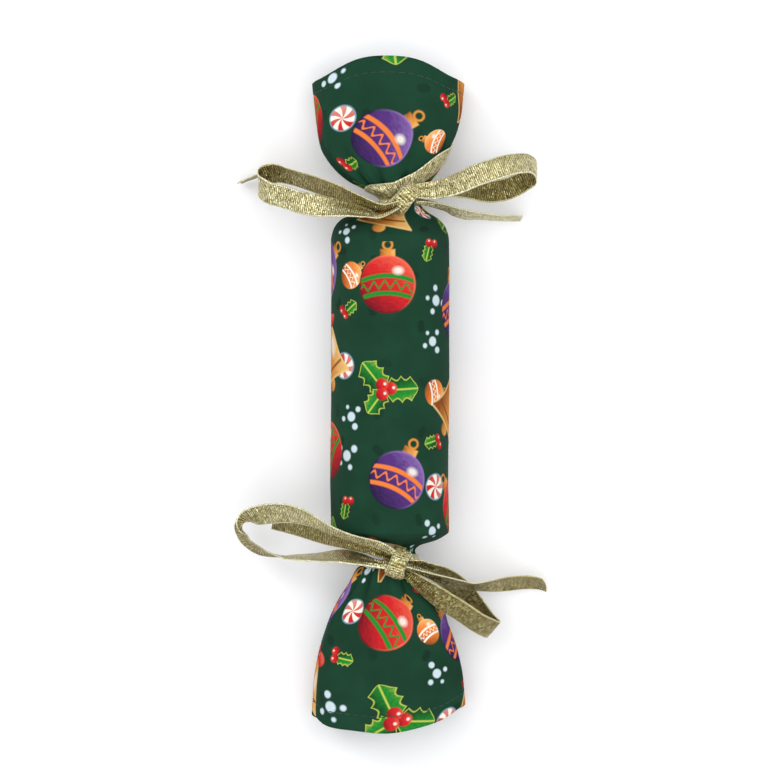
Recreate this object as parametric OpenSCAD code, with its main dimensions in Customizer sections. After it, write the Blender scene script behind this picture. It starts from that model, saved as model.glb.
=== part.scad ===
// A reusable cloth cracker lying on a table: a sewn sleeve over a card tube, gathered at two
// necks and tied there with ribbon bows. The snap runs through both necks, and the tube holds
// a paper crown, a motto slip and a small spinning top.
// The cracker lies along Y. The far end is at +Y, the near end at -Y, and Z = 0 is the table.

/* [Sleeve] */
// Outside diameter of the cloth over the card tube
barrel_d = 52.5; // [44:0.5:60]
// Straight length of the cloth over the card tube
barrel_l = 129; // [110:1:150]
// Thickness of the lined cloth
cloth_t = 1; // [0.8:0.05:1.3]
// Depth to which the cloth is pressed flat where it lies on the table
rest_flat = 0.5; // [0.3:0.05:0.6]

/* [Gathered ends] */
// Length of the rounded shoulder between the barrel and the far neck
far_shoulder_l = 17.8; // [14:0.1:22]
// Length of the rounded shoulder between the barrel and the near neck
near_shoulder_l = 12.5; // [10:0.1:18]
// Width of the tied necks
neck_w = 12.6; // [11.5:0.1:15]
// Height of the tied necks
neck_h = 15; // [13:0.1:18]
// Distance of the necks to the right of the middle
neck_shift = 5; // [0:0.1:8]
// Length of the far flare, from its neck to the middle of its edge
far_flare_l = 63.2; // [50:0.1:80]
// Length of the near flare, from its neck to the middle of its edge
near_flare_l = 77.2; // [60:0.1:90]
// Width of the open mouths
mouth_w = 68; // [60:0.5:76]
// Height of the open mouths
mouth_h = 32; // [24:0.5:40]
// Height of the mouths' lower edges over the table
mouth_lift = 0.3; // [0.2:0.05:2]
// How far the far mouth's edge draws back at its two sides
far_edge_sag = 11.6; // [6:0.1:18]
// How far the near mouth's edge draws back at its two sides
near_edge_sag = 9.1; // [5:0.1:18]
// How much further the near mouth's edge draws back on the right
near_edge_skew = 2.2; // [0:0.1:5]
// Number of pleats round each gathered end
pleats = 10; // [8:1:12]

/* [Card tube] */
// Length of the card tube
tube_l = 126; // [100:1:140]
// Wall of the card tube
tube_wall = 1.2; // [0.8:0.1:2]
// Gap between the card tube and the cloth
tube_gap = 0.2; // [0.1:0.05:0.4]

/* [Ribbon] */
// Width of the ribbon
ribbon_w = 10; // [7:0.5:11]
// Thickness of the ribbon with its corded edges
ribbon_t = 0.6; // [0.4:0.05:0.8]
// Reach of the bows' loops from their knots
bow_reach = 65; // [55:1:75]
// Length of a knot along its band
knot_l = 13; // [11:0.5:15]
// Width of a knot across its band
knot_w = 10; // [8:0.5:12]
// Thickness of a knot
knot_t = 7; // [6:0.5:9]
// Gap between a ribbon and the cloth that it is tied over
ribbon_gap = 0.4; // [0.3:0.05:0.5]
// How far the far neck's ribbon puffs out on the left
band_puff = 5; // [0:0.5:8]

/* [Snap] */
// Width of the two card strips
strip_w = 6; // [5:0.1:7]
// Thickness of a card strip
strip_t = 0.5; // [0.4:0.05:0.7]
// Reach of the far strip beyond the middle of the barrel
far_strip_reach = 135; // [110:1:145]
// Reach of the near strip beyond the middle of the barrel
near_strip_reach = 140; // [110:1:150]
// Length over which the two strips lie on each other
strip_overlap = 44; // [30:1:60]
// Gap between the strips, and between them and the paper band
strip_gap = 0.12; // [0.1:0.01:0.2]
// Length of the paper band round the overlap
band_l = 50; // [30:1:70]
// Wall of the paper band
band_wall = 0.3; // [0.2:0.05:0.5]
// Gap between a strip's edges and the neck that it runs through
neck_gap = 0.6; // [0.4:0.05:1]

/* [Contents] */
// Diameter of the rolled paper crown
crown_d = 13; // [10:0.5:15]
// Length of the rolled paper crown
crown_l = 80; // [60:1:90]
// Depth of the crown's points
crown_point_l = 9; // [5:0.5:15]
// Thickness of the crown's folded tissue
crown_paper_t = 0.6; // [0.4:0.05:0.8]
// Diameter of the rolled motto slip
motto_d = 6; // [5:0.5:8]
// Length of the rolled motto slip
motto_l = 50; // [30:1:60]
// Thickness of the motto's paper
motto_paper_t = 0.3; // [0.25:0.05:0.4]
// Diameter of the spinning top
top_d = 20; // [14:0.5:21]
// Height of the spinning top's turned disc
top_disc_h = 9; // [6:0.5:12]
// Length of the spinning top's spindle
top_spindle_l = 26; // [20:0.5:32]
// Diameter of the spinning top's spindle
top_spindle_d = 3; // [2.5:0.1:4]
// Gap round the spindle in its disc
spindle_gap = 0.03; // [0.02:0.01:0.05]
// Gap between the loose contents and what they lie on
content_gap = 0.3; // [0.2:0.05:0.4]

/* [Hidden] */
round_fn = 72;

barrel_r = barrel_d / 2;
barrel_end = barrel_l / 2;
// Height of the barrel's middle line, with its underside pressed flat on the table
axis_z = barrel_r - rest_flat;
tube_r = barrel_r - cloth_t - tube_gap;
tube_bore_r = tube_r - tube_wall;
neck_half_w = neck_w / 2;
neck_half_h = neck_h / 2;
mouth_half_w = mouth_w / 2;
mouth_half_h = mouth_h / 2;
mouth_z = mouth_half_h + mouth_lift;
passage_half_w = strip_w / 2 + neck_gap;
passage_half_h = passage_half_w * neck_h / neck_w;
ring_points = 2 * pleats;
// Overrun of a cut past the solid that it cuts
overrun = cloth_t;

// Shoulder stations: share of the way to the neck, share of the widening from the neck to the
// barrel in width and in height, share of the neck's shift, and pleat depth as a share
far_shoulder_shares = [
    [0.06, 0.99, 0.99, 0, 0],
    [0.28, 0.93, 0.73, 0, 0.01],
    [0.50, 0.77, 0.37, 0, 0.025],
    [0.72, 0.37, 0.14, 0.4, 0.05],
    [0.90, 0.09, 0.04, 0.9, 0.07],
    [1, 0, 0, 1, 0.07],
];
near_shoulder_shares = [
    [0.06, 0.99, 0.99, 0, 0],
    [0.22, 0.87, 0.80, 0, 0.01],
    [0.38, 0.66, 0.46, 0, 0.025],
    [0.54, 0.28, 0.18, 0.2, 0.05],
    [0.74, 0.06, 0.05, 0.6, 0.07],
    [1, 0, 0, 1, 0.07],
];
// Flare stations: share of the way to the mouth, share of the mouth's half width and height,
// share of the neck's shift, share of the drop to the table, and pleat depth as a share
far_flare_shares = [
    [0.07, 0.36, 0.55, 0.35, 0, 0.09],
    [0.14, 0.53, 0.65, -0.1, 0.03, 0.08],
    [0.25, 0.70, 0.78, -0.32, 0.10, 0.06],
    [0.38, 0.83, 0.89, -0.47, 0.25, 0.045],
    [0.54, 0.92, 0.97, -0.32, 0.50, 0.03],
    [0.74, 0.97, 1, -0.24, 0.78, 0.02],
    [1, 1, 1, -0.22, 1, 0.012],
];
near_flare_shares = [
    [0.05, 0.36, 0.52, -0.2, 0, 0.09],
    [0.11, 0.42, 0.60, -0.4, 0.02, 0.08],
    [0.19, 0.53, 0.70, -0.4, 0.06, 0.07],
    [0.28, 0.69, 0.79, -0.2, 0.13, 0.055],
    [0.41, 0.80, 0.89, -0.32, 0.30, 0.04],
    [0.58, 0.91, 0.97, -0.32, 0.55, 0.03],
    [0.79, 0.98, 1, -0.27, 0.82, 0.02],
    [1, 1, 1, -0.22, 1, 0.012],
];

// An end of the sleeve: its side, shoulder length, flare length, edge sag and skew, and shares
far_end = [1, far_shoulder_l, far_flare_l, far_edge_sag, 0, far_shoulder_shares, far_flare_shares];
near_end = [
    -1, near_shoulder_l, near_flare_l, near_edge_sag, near_edge_skew,
    near_shoulder_shares, near_flare_shares,
];

// A station is [y, centre x, centre z, half width, half height, pleat share, edge sag, edge skew,
// inner half width, inner half height], and the first lies inside the barrel's own wall
function seam_station(end) = [
    end[0] * (barrel_end - cloth_t * 1.5), 0, axis_z,
    barrel_r - cloth_t * 0.15, barrel_r - cloth_t * 0.15, 0, 0, 0,
    barrel_r - cloth_t * 0.65, barrel_r - cloth_t * 0.65,
];
function shoulder_station(end, row) =
    let (
        half_w = neck_half_w + (barrel_r - neck_half_w) * row[1],
        half_h = neck_half_h + (barrel_r - neck_half_h) * row[2],
        tied = row[0] == 1
    )
    [
        end[0] * (barrel_end + end[1] * row[0]), neck_shift * row[3], axis_z,
        half_w, half_h, row[4], 0, 0,
        tied ? passage_half_w : half_w - cloth_t, tied ? passage_half_h : half_h - cloth_t,
    ];
function flare_station(end, row) =
    [
        end[0] * (barrel_end + end[1] + end[2] * row[0]), neck_shift * row[3],
        axis_z + (mouth_z - axis_z) * row[4],
        mouth_half_w * row[1], mouth_half_h * row[2], row[5],
        end[3] * row[0] * row[0], end[4] * row[0] * row[0],
        mouth_half_w * row[1] - cloth_t, mouth_half_h * row[2] - cloth_t,
    ];
function end_stations(end) = concat(
    [seam_station(end)],
    [for (row = end[5]) shoulder_station(end, row)],
    [for (row = end[6]) flare_station(end, row)]
);

// A smooth curve through rows of numbers, u counting the rows from 0
function through(rows, u) =
    let (
        last = len(rows) - 1,
        i = max(0, min(floor(u), last - 1)),
        t = u - i,
        a = rows[max(i - 1, 0)],
        b = rows[i],
        c = rows[i + 1],
        d = rows[min(i + 2, last)]
    )
    b + (c - a) * t / 2 + (2 * a - 5 * b + 4 * c - d) * t * t / 2 + (3 * b - a - 3 * c + d) * t * t * t / 2;

// The straight way from row to row, u counting the rows from 0
function straight(rows, u) =
    let (i = max(0, min(floor(u), len(rows) - 2)))
    rows[i] + (rows[i + 1] - rows[i]) * (u - i);

// A point of the cloth at a station and an angle from the right, over the top and round
function cloth_point(end, station, angle, half_w, half_h) =
    [
        station[1] + half_w * cos(angle),
        station[0] - end[0] * (station[6] * cos(angle) * cos(angle) + station[7] * cos(angle)),
        station[2] + half_h * sin(angle),
    ];
function pleat_scale(station, k) = 1 + station[5] * (k % 2 == 0 ? 1 : -1);
function outer_ring(end, station) = [
    for (k = [0:ring_points - 1])
        let (s = pleat_scale(station, k))
        cloth_point(end, station, k * 360 / ring_points, station[3] * s, station[4] * s)
];
function inner_ring(end, station) = [
    for (k = [0:ring_points - 1])
        let (s = pleat_scale(station, k))
        cloth_point(end, station, k * 360 / ring_points, station[8] * s, station[9] * s)
];

// Triangles between ring i and ring j of a mesh whose rings have n points each
function band_faces(i, j, n, flip) = [
    for (k = [0:n - 1])
        let (
            a = i * n + k,
            b = i * n + (k + 1) % n,
            c = j * n + k,
            d = j * n + (k + 1) % n
        )
        each (flip ? [[a, b, c], [b, d, c]] : [[a, c, b], [b, c, d]])
];
function flat_list(rings) = [for (ring = rings) each ring];

// One gathered end: an outer and an inner skin, closed by a rim at the seam and at the mouth
module gathered_end(end) {
    stations = end_stations(end);
    count = len(stations);
    flip = end[0] > 0;
    points = flat_list(concat(
        [for (s = stations) outer_ring(end, s)],
        [for (s = stations) inner_ring(end, s)]
    ));
    faces = concat(
        [for (i = [0:count - 2]) each band_faces(i, i + 1, ring_points, flip)],
        [for (i = [0:count - 2]) each band_faces(count + i, count + i + 1, ring_points, !flip)],
        band_faces(0, count, ring_points, !flip),
        band_faces(count - 1, 2 * count - 1, ring_points, flip)
    );
    polyhedron(points, faces, convexity = 10);
}

module along_y(r, l) {
    rotate([90, 0, 0]) cylinder(r = r, h = l, center = true, $fn = round_fn);
}

module cloth_sleeve() {
    color("darkgreen")
    difference() {
        union() {
            translate([0, 0, axis_z])
            difference() {
                along_y(barrel_r, barrel_l);
                along_y(barrel_r - cloth_t, barrel_l + 2 * overrun);
            }
            gathered_end(far_end);
            gathered_end(near_end);
        }
        translate([-barrel_r, -barrel_l, -barrel_r])
        cube([barrel_d, 2 * barrel_l, barrel_r]);
    }
}

module card_tube() {
    color("tan")
    translate([0, 0, axis_z])
    difference() {
        along_y(tube_r, tube_l);
        along_y(tube_bore_r, tube_l + 2 * overrun);
    }
}

// Ribbon: a band swept along hand-chosen rows. A row is the place from the knot as shares of
// the bow's reach, its height as a share of the knot's height over the table, the way that the
// band's upper edge leans, and the share of the ribbon's width that is spread there.
far_neck_y = barrel_end + far_shoulder_l;
near_neck_y = -barrel_end - near_shoulder_l;
// The knots sit on the neck bands, over the necks' highest pleats
neck_pleat_share = 1.07;
knot_z = axis_z + neck_half_h * neck_pleat_share + 3 * ribbon_gap + ribbon_t + knot_t / 2;
far_knot_at = [neck_shift + neck_w * 0.2, far_neck_y + knot_l * 0.1, knot_z];
near_knot_at = [neck_shift - neck_w * 0.1, near_neck_y - knot_l * 0.1, knot_z];
ring_steps = 3;

far_left_loop_shares = [
    [-0.05, -0.05, 1.04, 0, 0.2, 1, 0.4],
    [-0.17, -0.08, 1.11, 0, 0.26, 0.97, 0.55],
    [-0.32, -0.035, 1.11, 0, 0.57, 0.82, 0.85],
    [-0.44, 0.017, 1.06, 0, 0.64, 0.77, 1],
    [-0.56, 0.06, 0.98, 0, 0.68, 0.73, 1],
    [-0.68, 0.10, 0.86, 0, 0.68, 0.73, 1],
    [-0.80, 0.14, 0.73, 0, 0.7, 0.7, 1],
    [-0.90, 0.165, 0.64, 0, 0.79, 0.6, 1],
    [-0.985, 0.14, 0.62, 0, 0.9, 0.4, 1],
    [-1.01, 0.08, 0.70, 0, 0.95, 0.25, 1],
    [-0.95, 0.025, 0.80, 0, 0.98, 0.17, 1],
    [-0.85, -0.005, 0.90, 0, 0.98, 0.17, 1],
    [-0.73, -0.045, 1.00, 0, 1, 0.02, 1],
    [-0.585, -0.072, 1.08, 0, 0.94, -0.3, 1],
    [-0.425, -0.09, 1.13, 0, 0.77, -0.64, 0.95],
    [-0.29, -0.117, 1.16, 0, 0.57, -0.82, 0.8],
    [-0.185, -0.143, 1.17, 0, 0.25, -0.97, 0.6],
    [-0.06, -0.095, 1.08, 0, 0.2, -1, 0.4],
];
far_right_loop_shares = [
    [0.06, 0.03, 1.04, 0, 0.9, -0.3, 0.65],
    [0.20, 0.04, 1.09, 0, 0.93, -0.34, 0.88],
    [0.34, 0.08, 1.13, 0, 0.95, -0.3, 1],
    [0.465, 0.135, 1.12, 0, 0.97, -0.22, 1],
    [0.57, 0.172, 1.07, 0, 0.96, -0.26, 1],
    [0.68, 0.208, 0.99, 0, 0.92, -0.38, 1],
    [0.765, 0.225, 0.90, 0, 0.87, -0.5, 1],
    [0.84, 0.226, 0.79, 0, 0.8, -0.5, 1],
    [0.885, 0.19, 0.69, 0, 0.8, -0.5, 1],
    [0.875, 0.14, 0.61, 0, 0.85, -0.5, 1],
    [0.80, 0.095, 0.57, 0, 0.87, -0.5, 1],
    [0.72, 0.055, 0.58, 0, 0.87, -0.5, 1],
    [0.63, 0.03, 0.63, 0, 0.87, -0.5, 1],
    [0.53, 0.025, 0.71, 0, 0.87, -0.5, 1],
    [0.40, 0.04, 0.81, 0, 0.85, -0.53, 0.9],
    [0.25, 0.04, 0.91, 0, 0.8, -0.6, 0.7],
    [0.06, 0.015, 0.97, 0, 0.8, -0.6, 0.45],
];
far_left_tail_shares = [
    [-0.05, -0.05, 0.95, 0, 1, 0.3, 0.35],
    [-0.17, -0.08, 0.965, 0, 0.2, 1, 0.38],
    [-0.28, -0.06, 0.90, 0, 0.15, 1, 0.6],
    [-0.42, -0.01, 0.72, 0, 0.3, 0.95, 0.9],
    [-0.56, 0.05, 0.60, 0, 0.3, 0.95, 1],
    [-0.72, 0.11, 0.45, 0, 0.2, 0.97, 1],
    [-0.88, 0.15, 0.30, 0, 0.1, 0.99, 1],
    [-1.0, 0.163, 0.21, 0, 0.05, 1, 1],
    [-1.09, 0.138, 0.17, 0, 0.05, 1, 1],
    [-1.155, 0.11, 0.16, 0, 0.08, 0.99, 1],
];
far_right_tail_shares = [
    [0.06, -0.04, 0.97, 0, 0.3, 0.95, 0.4],
    [0.15, -0.05, 0.92, 0, 0.33, 0.94, 0.6],
    [0.26, -0.078, 0.83, 0, 0.3, 0.95, 0.85],
    [0.34, -0.108, 0.76, 0, 0.28, 0.96, 1],
    [0.43, -0.13, 0.62, 0, 0.25, 0.97, 1],
    [0.53, -0.135, 0.45, 0, 0.2, 0.98, 1],
    [0.64, -0.14, 0.29, 0, 0.17, 0.98, 1],
    [0.79, -0.14, 0.18, 0, 0.15, 0.99, 1],
];
near_left_loop_shares = [
    [-0.04, 0.06, 1.05, 0, 0.3, 0.95, 0.4],
    [-0.13, 0.11, 1.16, 0, 0.36, 0.93, 0.55],
    [-0.29, 0.155, 1.26, 0, 0.4, 0.92, 0.85],
    [-0.45, 0.215, 1.28, 0, 0.4, 0.92, 1],
    [-0.565, 0.275, 1.22, 0, 0.5, 0.87, 1],
    [-0.68, 0.318, 1.11, 0, 0.75, 0.66, 1],
    [-0.80, 0.332, 0.97, 0, 0.85, 0.52, 1],
    [-0.93, 0.318, 0.80, 0, 0.8, 0.6, 1],
    [-1.03, 0.285, 0.66, 0.1, 0.6, 0.8, 1],
    [-1.075, 0.23, 0.57, 0.3, 0.3, 0.9, 1],
    [-1.06, 0.165, 0.50, 0.42, 0.05, 0.9, 1],
    [-1.02, 0.115, 0.45, 0.4, 0.2, 0.9, 1],
    [-0.95, 0.07, 0.43, 0.25, 0.33, 0.9, 1],
    [-0.86, 0.045, 0.46, 0, 0.2, 0.98, 1],
    [-0.73, 0.03, 0.55, 0, -0.2, 0.98, 1],
    [-0.56, 0.033, 0.69, 0, -0.3, 0.95, 1],
    [-0.40, 0.042, 0.80, 0, -0.5, 0.87, 1],
    [-0.28, 0.025, 0.88, 0, -0.6, 0.8, 0.9],
    [-0.17, 0.003, 0.94, 0, -0.5, 0.87, 0.7],
    [-0.05, -0.02, 0.98, 0, -0.4, 0.9, 0.45],
];
near_right_loop_shares = [
    [0.05, -0.065, 0.95, 0.3, 0.5, 0.6, 0.35],
    [0.12, -0.125, 1.02, 0.4, 0.6, 0.6, 0.8],
    [0.205, -0.19, 1.01, 0.45, 0.65, 0.55, 0.95],
    [0.315, -0.268, 0.96, 0.53, 0.7, 0.45, 1],
    [0.425, -0.338, 0.87, 0.56, 0.7, 0.43, 1],
    [0.53, -0.412, 0.74, 0.6, 0.7, 0.38, 1],
    [0.605, -0.455, 0.62, 0.64, 0.7, 0.3, 1],
    [0.652, -0.475, 0.52, 0.65, 0.69, 0.3, 1],
    [0.636, -0.45, 0.42, 0.62, 0.7, 0.35, 1],
    [0.592, -0.398, 0.38, 0.57, 0.7, 0.4, 1],
    [0.538, -0.322, 0.39, 0.52, 0.7, 0.5, 1],
    [0.48, -0.237, 0.44, 0.45, 0.68, 0.6, 1],
    [0.41, -0.165, 0.53, 0.35, 0.6, 0.7, 1],
    [0.33, -0.10, 0.66, 0.2, 0.5, 0.8, 1],
    [0.24, -0.048, 0.80, 0.1, 0.45, 0.85, 0.9],
    [0.15, -0.012, 0.90, 0, 0.4, 0.9, 0.7],
    [0.06, -0.003, 0.95, 0, 0.4, 0.9, 0.5],
];
near_left_tail_shares = [
    [-0.05, 0.037, 0.95, 0, 0.8, 0.5, 0.4],
    [-0.20, 0.085, 1.01, 0, 0.7, 0.7, 0.55],
    [-0.36, 0.125, 1.06, 0, 0.73, 0.68, 0.8],
    [-0.48, 0.165, 1.02, 0, 0.75, 0.66, 1],
    [-0.64, 0.21, 0.86, 0, 0.78, 0.62, 1],
    [-0.77, 0.24, 0.70, 0, 0.8, 0.6, 1],
    [-0.88, 0.262, 0.56, 0, 0.8, 0.6, 1],
];
near_right_tail_shares = [
    [0.05, -0.02, 1.07, 0, 0.4, 0.9, 0.35],
    [0.18, -0.065, 1.05, 0, 0.42, 0.9, 0.6],
    [0.28, -0.105, 0.99, 0, 0.4, 0.92, 0.85],
    [0.39, -0.143, 0.89, 0, 0.35, 0.94, 1],
    [0.49, -0.163, 0.79, 0, 0.3, 0.95, 1],
    [0.59, -0.162, 0.65, 0, 0.4, 0.92, 1],
    [0.73, -0.157, 0.42, 0, 0.55, 0.83, 1],
    [0.865, -0.151, 0.27, 0, 0.6, 0.8, 1],
    [0.965, -0.16, 0.19, 0, 0.55, 0.83, 1],
    [1.02, -0.185, 0.165, 0, 0.4, 0.9, 1],
];

function unit(v) = v / norm(v);
function band_place(knot_at, row) =
    [knot_at[0] + bow_reach * row[0], knot_at[1] + bow_reach * row[1], knot_at[2] * row[2]];
// The four corners of the band at u, with a slanting cut at a tail's end
function band_ring(knot_at, rows, u, cut) =
    let (
        row = through(rows, u),
        step = 0.02,
        back = band_place(knot_at, through(rows, u - step)),
        ahead = band_place(knot_at, through(rows, u + step)),
        run = unit(ahead - back),
        lean = [row[3], row[4], row[5]],
        across = unit(lean - run * (lean * run)),
        face = cross(run, across) * ribbon_t / 2,
        half = across * ribbon_w * row[6] / 2,
        slant = run * cut * ribbon_w / 2,
        p = band_place(knot_at, row)
    )
    [p + half + slant + face, p - half - slant + face, p - half - slant - face, p + half + slant - face];

module capped_sweep(rings) {
    n = len(rings[0]);
    last = len(rings) - 1;
    faces = concat(
        [for (i = [0:last - 1]) each band_faces(i, i + 1, n, false)],
        [for (k = [1:n - 2]) [0, k, k + 1]],
        [for (k = [1:n - 2]) [last * n, last * n + k + 1, last * n + k]]
    );
    polyhedron(flat_list(rings), faces, convexity = 10);
}

module ribbon_strand(knot_at, rows, cut = 0) {
    last = (len(rows) - 1) * ring_steps;
    color("palegoldenrod")
    capped_sweep([
        for (i = [0:last])
            band_ring(knot_at, rows, i / ring_steps, i == last ? cut : 0)
    ]);
}

// A knot: the ribbon's band drawn tight over the strands, swollen between its two ends
knot_ring_points = 12;
knot_rings = 8;
module knot(knot_at, turn) {
    rings = [
        for (i = [0:knot_rings])
            let (
                along = -cos(i * 180 / knot_rings),
                swell = pow(1 - pow(abs(along), 3) * 0.8, 0.5),
                groove = 1 - 0.06 * (i % 2)
            )
            [
                for (k = [0:knot_ring_points - 1])
                    let (angle = k * 360 / knot_ring_points)
                    [
                        knot_l / 2 * along,
                        knot_w / 2 * swell * cos(angle),
                        knot_t / 2 * swell * groove * sin(angle),
                    ]
            ]
    ];
    color("palegoldenrod")
    translate(knot_at)
    rotate([0, 0, turn])
    capped_sweep(rings);
}

// A neck band: the ribbon's turn round the gathered neck, lying on the cloth's pleats. It is
// centred at station u_low on the left and at u_low + climb on the right, where it is spread
// over spread_low and spread_high stations.
neck_band_steps = 36;
band_shares = [-0.5, -0.3, -0.1, 0.1, 0.3, 0.5];
band_last = len(band_shares) - 1;
module neck_band(end, u_low, climb, spread_low, spread_high, puff) {
    stations = end_stations(end);
    rings = [
        for (i = [0:neck_band_steps - 1])
            let (
                angle = i * 360 / neck_band_steps,
                rise = pow((1 + cos(angle)) / 2, 4),
                bulge = puff * pow((1 - cos(angle + 20)) / 2, 5),
                u = u_low + climb * rise,
                spread = spread_low + (spread_high - spread_low) * rise,
                rows = [for (share = band_shares) straight(stations, u + spread * share)],
                low = [for (share = band_shares) ribbon_gap + bulge * (1 - pow(2 * share, 2))],
                under = [
                    for (k = [0:band_last])
                        let (row = rows[k], s = 1 + row[5])
                        cloth_point(end, row, angle, row[3] * s + low[k], row[4] * s + low[k])
                ],
                over = [
                    for (k = [band_last:-1:0])
                        let (row = rows[k], s = 1 + row[5], off = low[k] + ribbon_t)
                        cloth_point(end, row, angle, row[3] * s + off, row[4] * s + off)
                ]
            )
            concat(under, over)
    ];
    flip = end[0] > 0;
    faces = [
        for (i = [0:neck_band_steps - 1])
            each band_faces(i, (i + 1) % neck_band_steps, 2 * len(band_shares), flip)
    ];
    color("palegoldenrod")
    polyhedron(flat_list(rings), faces, convexity = 10);
}

module far_neck_band() {
    neck_band(far_end, 6.2, 3.6, 1.9, 1.5, band_puff);
}
module near_neck_band() {
    neck_band(near_end, 6, 0.3, 2, 1.4, 0);
}
module far_knot() {
    knot(far_knot_at, 48);
}
module near_knot() {
    knot(near_knot_at, 70);
}

// The snap: two card strips that lie on each other inside a paper band
strip_x = neck_shift;
module strip(y_low, y_high, z_low) {
    color("ivory")
    translate([strip_x - strip_w / 2, y_low, z_low])
    cube([strip_w, y_high - y_low, strip_t]);
}
module snap_strip_far() {
    strip(-strip_overlap / 2, far_strip_reach, axis_z + strip_gap / 2);
}
module snap_strip_near() {
    strip(-near_strip_reach, strip_overlap / 2, axis_z - strip_gap / 2 - strip_t);
}
module snap_band() {
    hollow_w = strip_w + 2 * strip_gap;
    hollow_h = 2 * strip_t + 3 * strip_gap;
    color("chocolate")
    translate([strip_x, 0, axis_z])
    rotate([90, 0, 0])
    linear_extrude(height = band_l, center = true)
    difference() {
        square([hollow_w + 2 * band_wall, hollow_h + 2 * band_wall], center = true);
        square([hollow_w, hollow_h], center = true);
    }
}

// The loose contents lie in the tube's bore side by side, each at an angle from the right
function in_bore(angle, r) =
    let (reach = tube_bore_r - content_gap - r)
    [reach * cos(angle), 0, axis_z + reach * sin(angle)];
crown_angle = 225;
// How far past its seat in the bore a roll's outer edge ends
lap_angle = 15;
top_angle = 295;
crown_at = in_bore(crown_angle, crown_d / 2);
// The motto lies on the crown and against the bore: three sides give its angle
motto_reach = tube_bore_r - content_gap - motto_d / 2;
crown_reach = tube_bore_r - content_gap - crown_d / 2;
motto_to_crown = (motto_d + crown_d) / 2 + content_gap;
motto_angle = crown_angle - acos(
    (pow(motto_reach, 2) + pow(crown_reach, 2) - pow(motto_to_crown, 2)) / (2 * motto_reach * crown_reach)
);
motto_at = in_bore(motto_angle, motto_d / 2);

// A rolled sheet seen from its end, from its inner turn to its outer one, which ends at end_angle
roll_turns = 2.5;
roll_steps = 60;
module roll_section(d, paper_t, end_angle) {
    pitch = 2.2 * paper_t;
    outer_r = d / 2 - paper_t;
    function roll_r(i) = outer_r - pitch * roll_turns * (1 - i / roll_steps);
    rotate([0, 0, end_angle - 360 * roll_turns])
    polygon(concat(
        [for (i = [0:roll_steps]) let (a = i * 360 * roll_turns / roll_steps) roll_r(i) * [cos(a), sin(a)]],
        [
            for (i = [roll_steps:-1:0])
                let (a = i * 360 * roll_turns / roll_steps)
                (roll_r(i) + paper_t) * [cos(a), sin(a)]
        ]
    ));
}

// Cuts across the roll's end, each of which makes two of the notches between the points
crown_cuts = 3;
module paper_crown() {
    color("orangered")
    translate(crown_at)
    rotate([90, 0, 0])
    difference() {
        linear_extrude(height = crown_l, center = true)
        roll_section(crown_d, crown_paper_t, crown_angle + lap_angle);
        for (k = [0:crown_cuts - 1])
            rotate([0, 0, k * 180 / crown_cuts])
            translate([0, 0, crown_l / 2])
            rotate([90, 0, 0])
            linear_extrude(height = crown_d + 2 * overrun, center = true)
            polygon([
                [-crown_d / 8, overrun],
                [-crown_d / 30, -crown_point_l],
                [crown_d / 30, -crown_point_l],
                [crown_d / 8, overrun],
            ]);
    }
}

module motto_slip() {
    color("white")
    translate(motto_at)
    rotate([90, 0, 0])
    linear_extrude(height = motto_l, center = true)
    roll_section(motto_d, motto_paper_t, motto_angle + lap_angle);
}

// The spinning top: a turned disc on a spindle, lying with its spindle along the tube
top_at = in_bore(top_angle, top_d / 2);
module turned_along_y() {
    translate(top_at)
    rotate([-90, 0, 0])
    rotate_extrude($fn = round_fn)
    children();
}
top_r = top_d / 2;
spindle_r = top_spindle_d / 2;
module top_disc() {
    half = top_disc_h / 2;
    rim = top_disc_h * 0.17;
    color("firebrick")
    turned_along_y()
    polygon([
        [spindle_r + spindle_gap, -half],
        [top_r * 0.45, -half],
        [top_r, -rim],
        [top_r, rim],
        [top_r * 0.62, half * 0.75],
        [top_r * 0.5, half],
        [spindle_r + spindle_gap, half],
    ]);
}
module top_spindle() {
    half = top_spindle_l / 2;
    color("burlywood")
    turned_along_y()
    polygon([
        [0, -half],
        [spindle_r * 0.3, -half + spindle_r * 0.2],
        [spindle_r, -half + 2 * spindle_r],
        [spindle_r, half - 3 * spindle_r],
        [spindle_r * 1.5, half - 2 * spindle_r],
        [spindle_r * 1.5, half - spindle_r],
        [spindle_r, half],
        [0, half],
    ]);
}

cloth_sleeve();
card_tube();
far_neck_band();
far_knot();
ribbon_strand(far_knot_at, far_left_loop_shares);  // far_left_loop
ribbon_strand(far_knot_at, far_right_loop_shares);  // far_right_loop
ribbon_strand(far_knot_at, far_left_tail_shares, 0.1);  // far_left_tail
ribbon_strand(far_knot_at, far_right_tail_shares, -0.3);  // far_right_tail
near_neck_band();
near_knot();
ribbon_strand(near_knot_at, near_left_loop_shares);  // near_left_loop
ribbon_strand(near_knot_at, near_right_loop_shares);  // near_right_loop
ribbon_strand(near_knot_at, near_left_tail_shares, 0.9);  // near_left_tail
ribbon_strand(near_knot_at, near_right_tail_shares, -0.5);  // near_right_tail
snap_strip_far();
snap_strip_near();
snap_band();
paper_crown();
motto_slip();
top_disc();
top_spindle();
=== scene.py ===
"""Looks of a reusable cloth cracker: printed sleeve, metallic ribbon bows, card tube, snap and contents."""
import math

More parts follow.
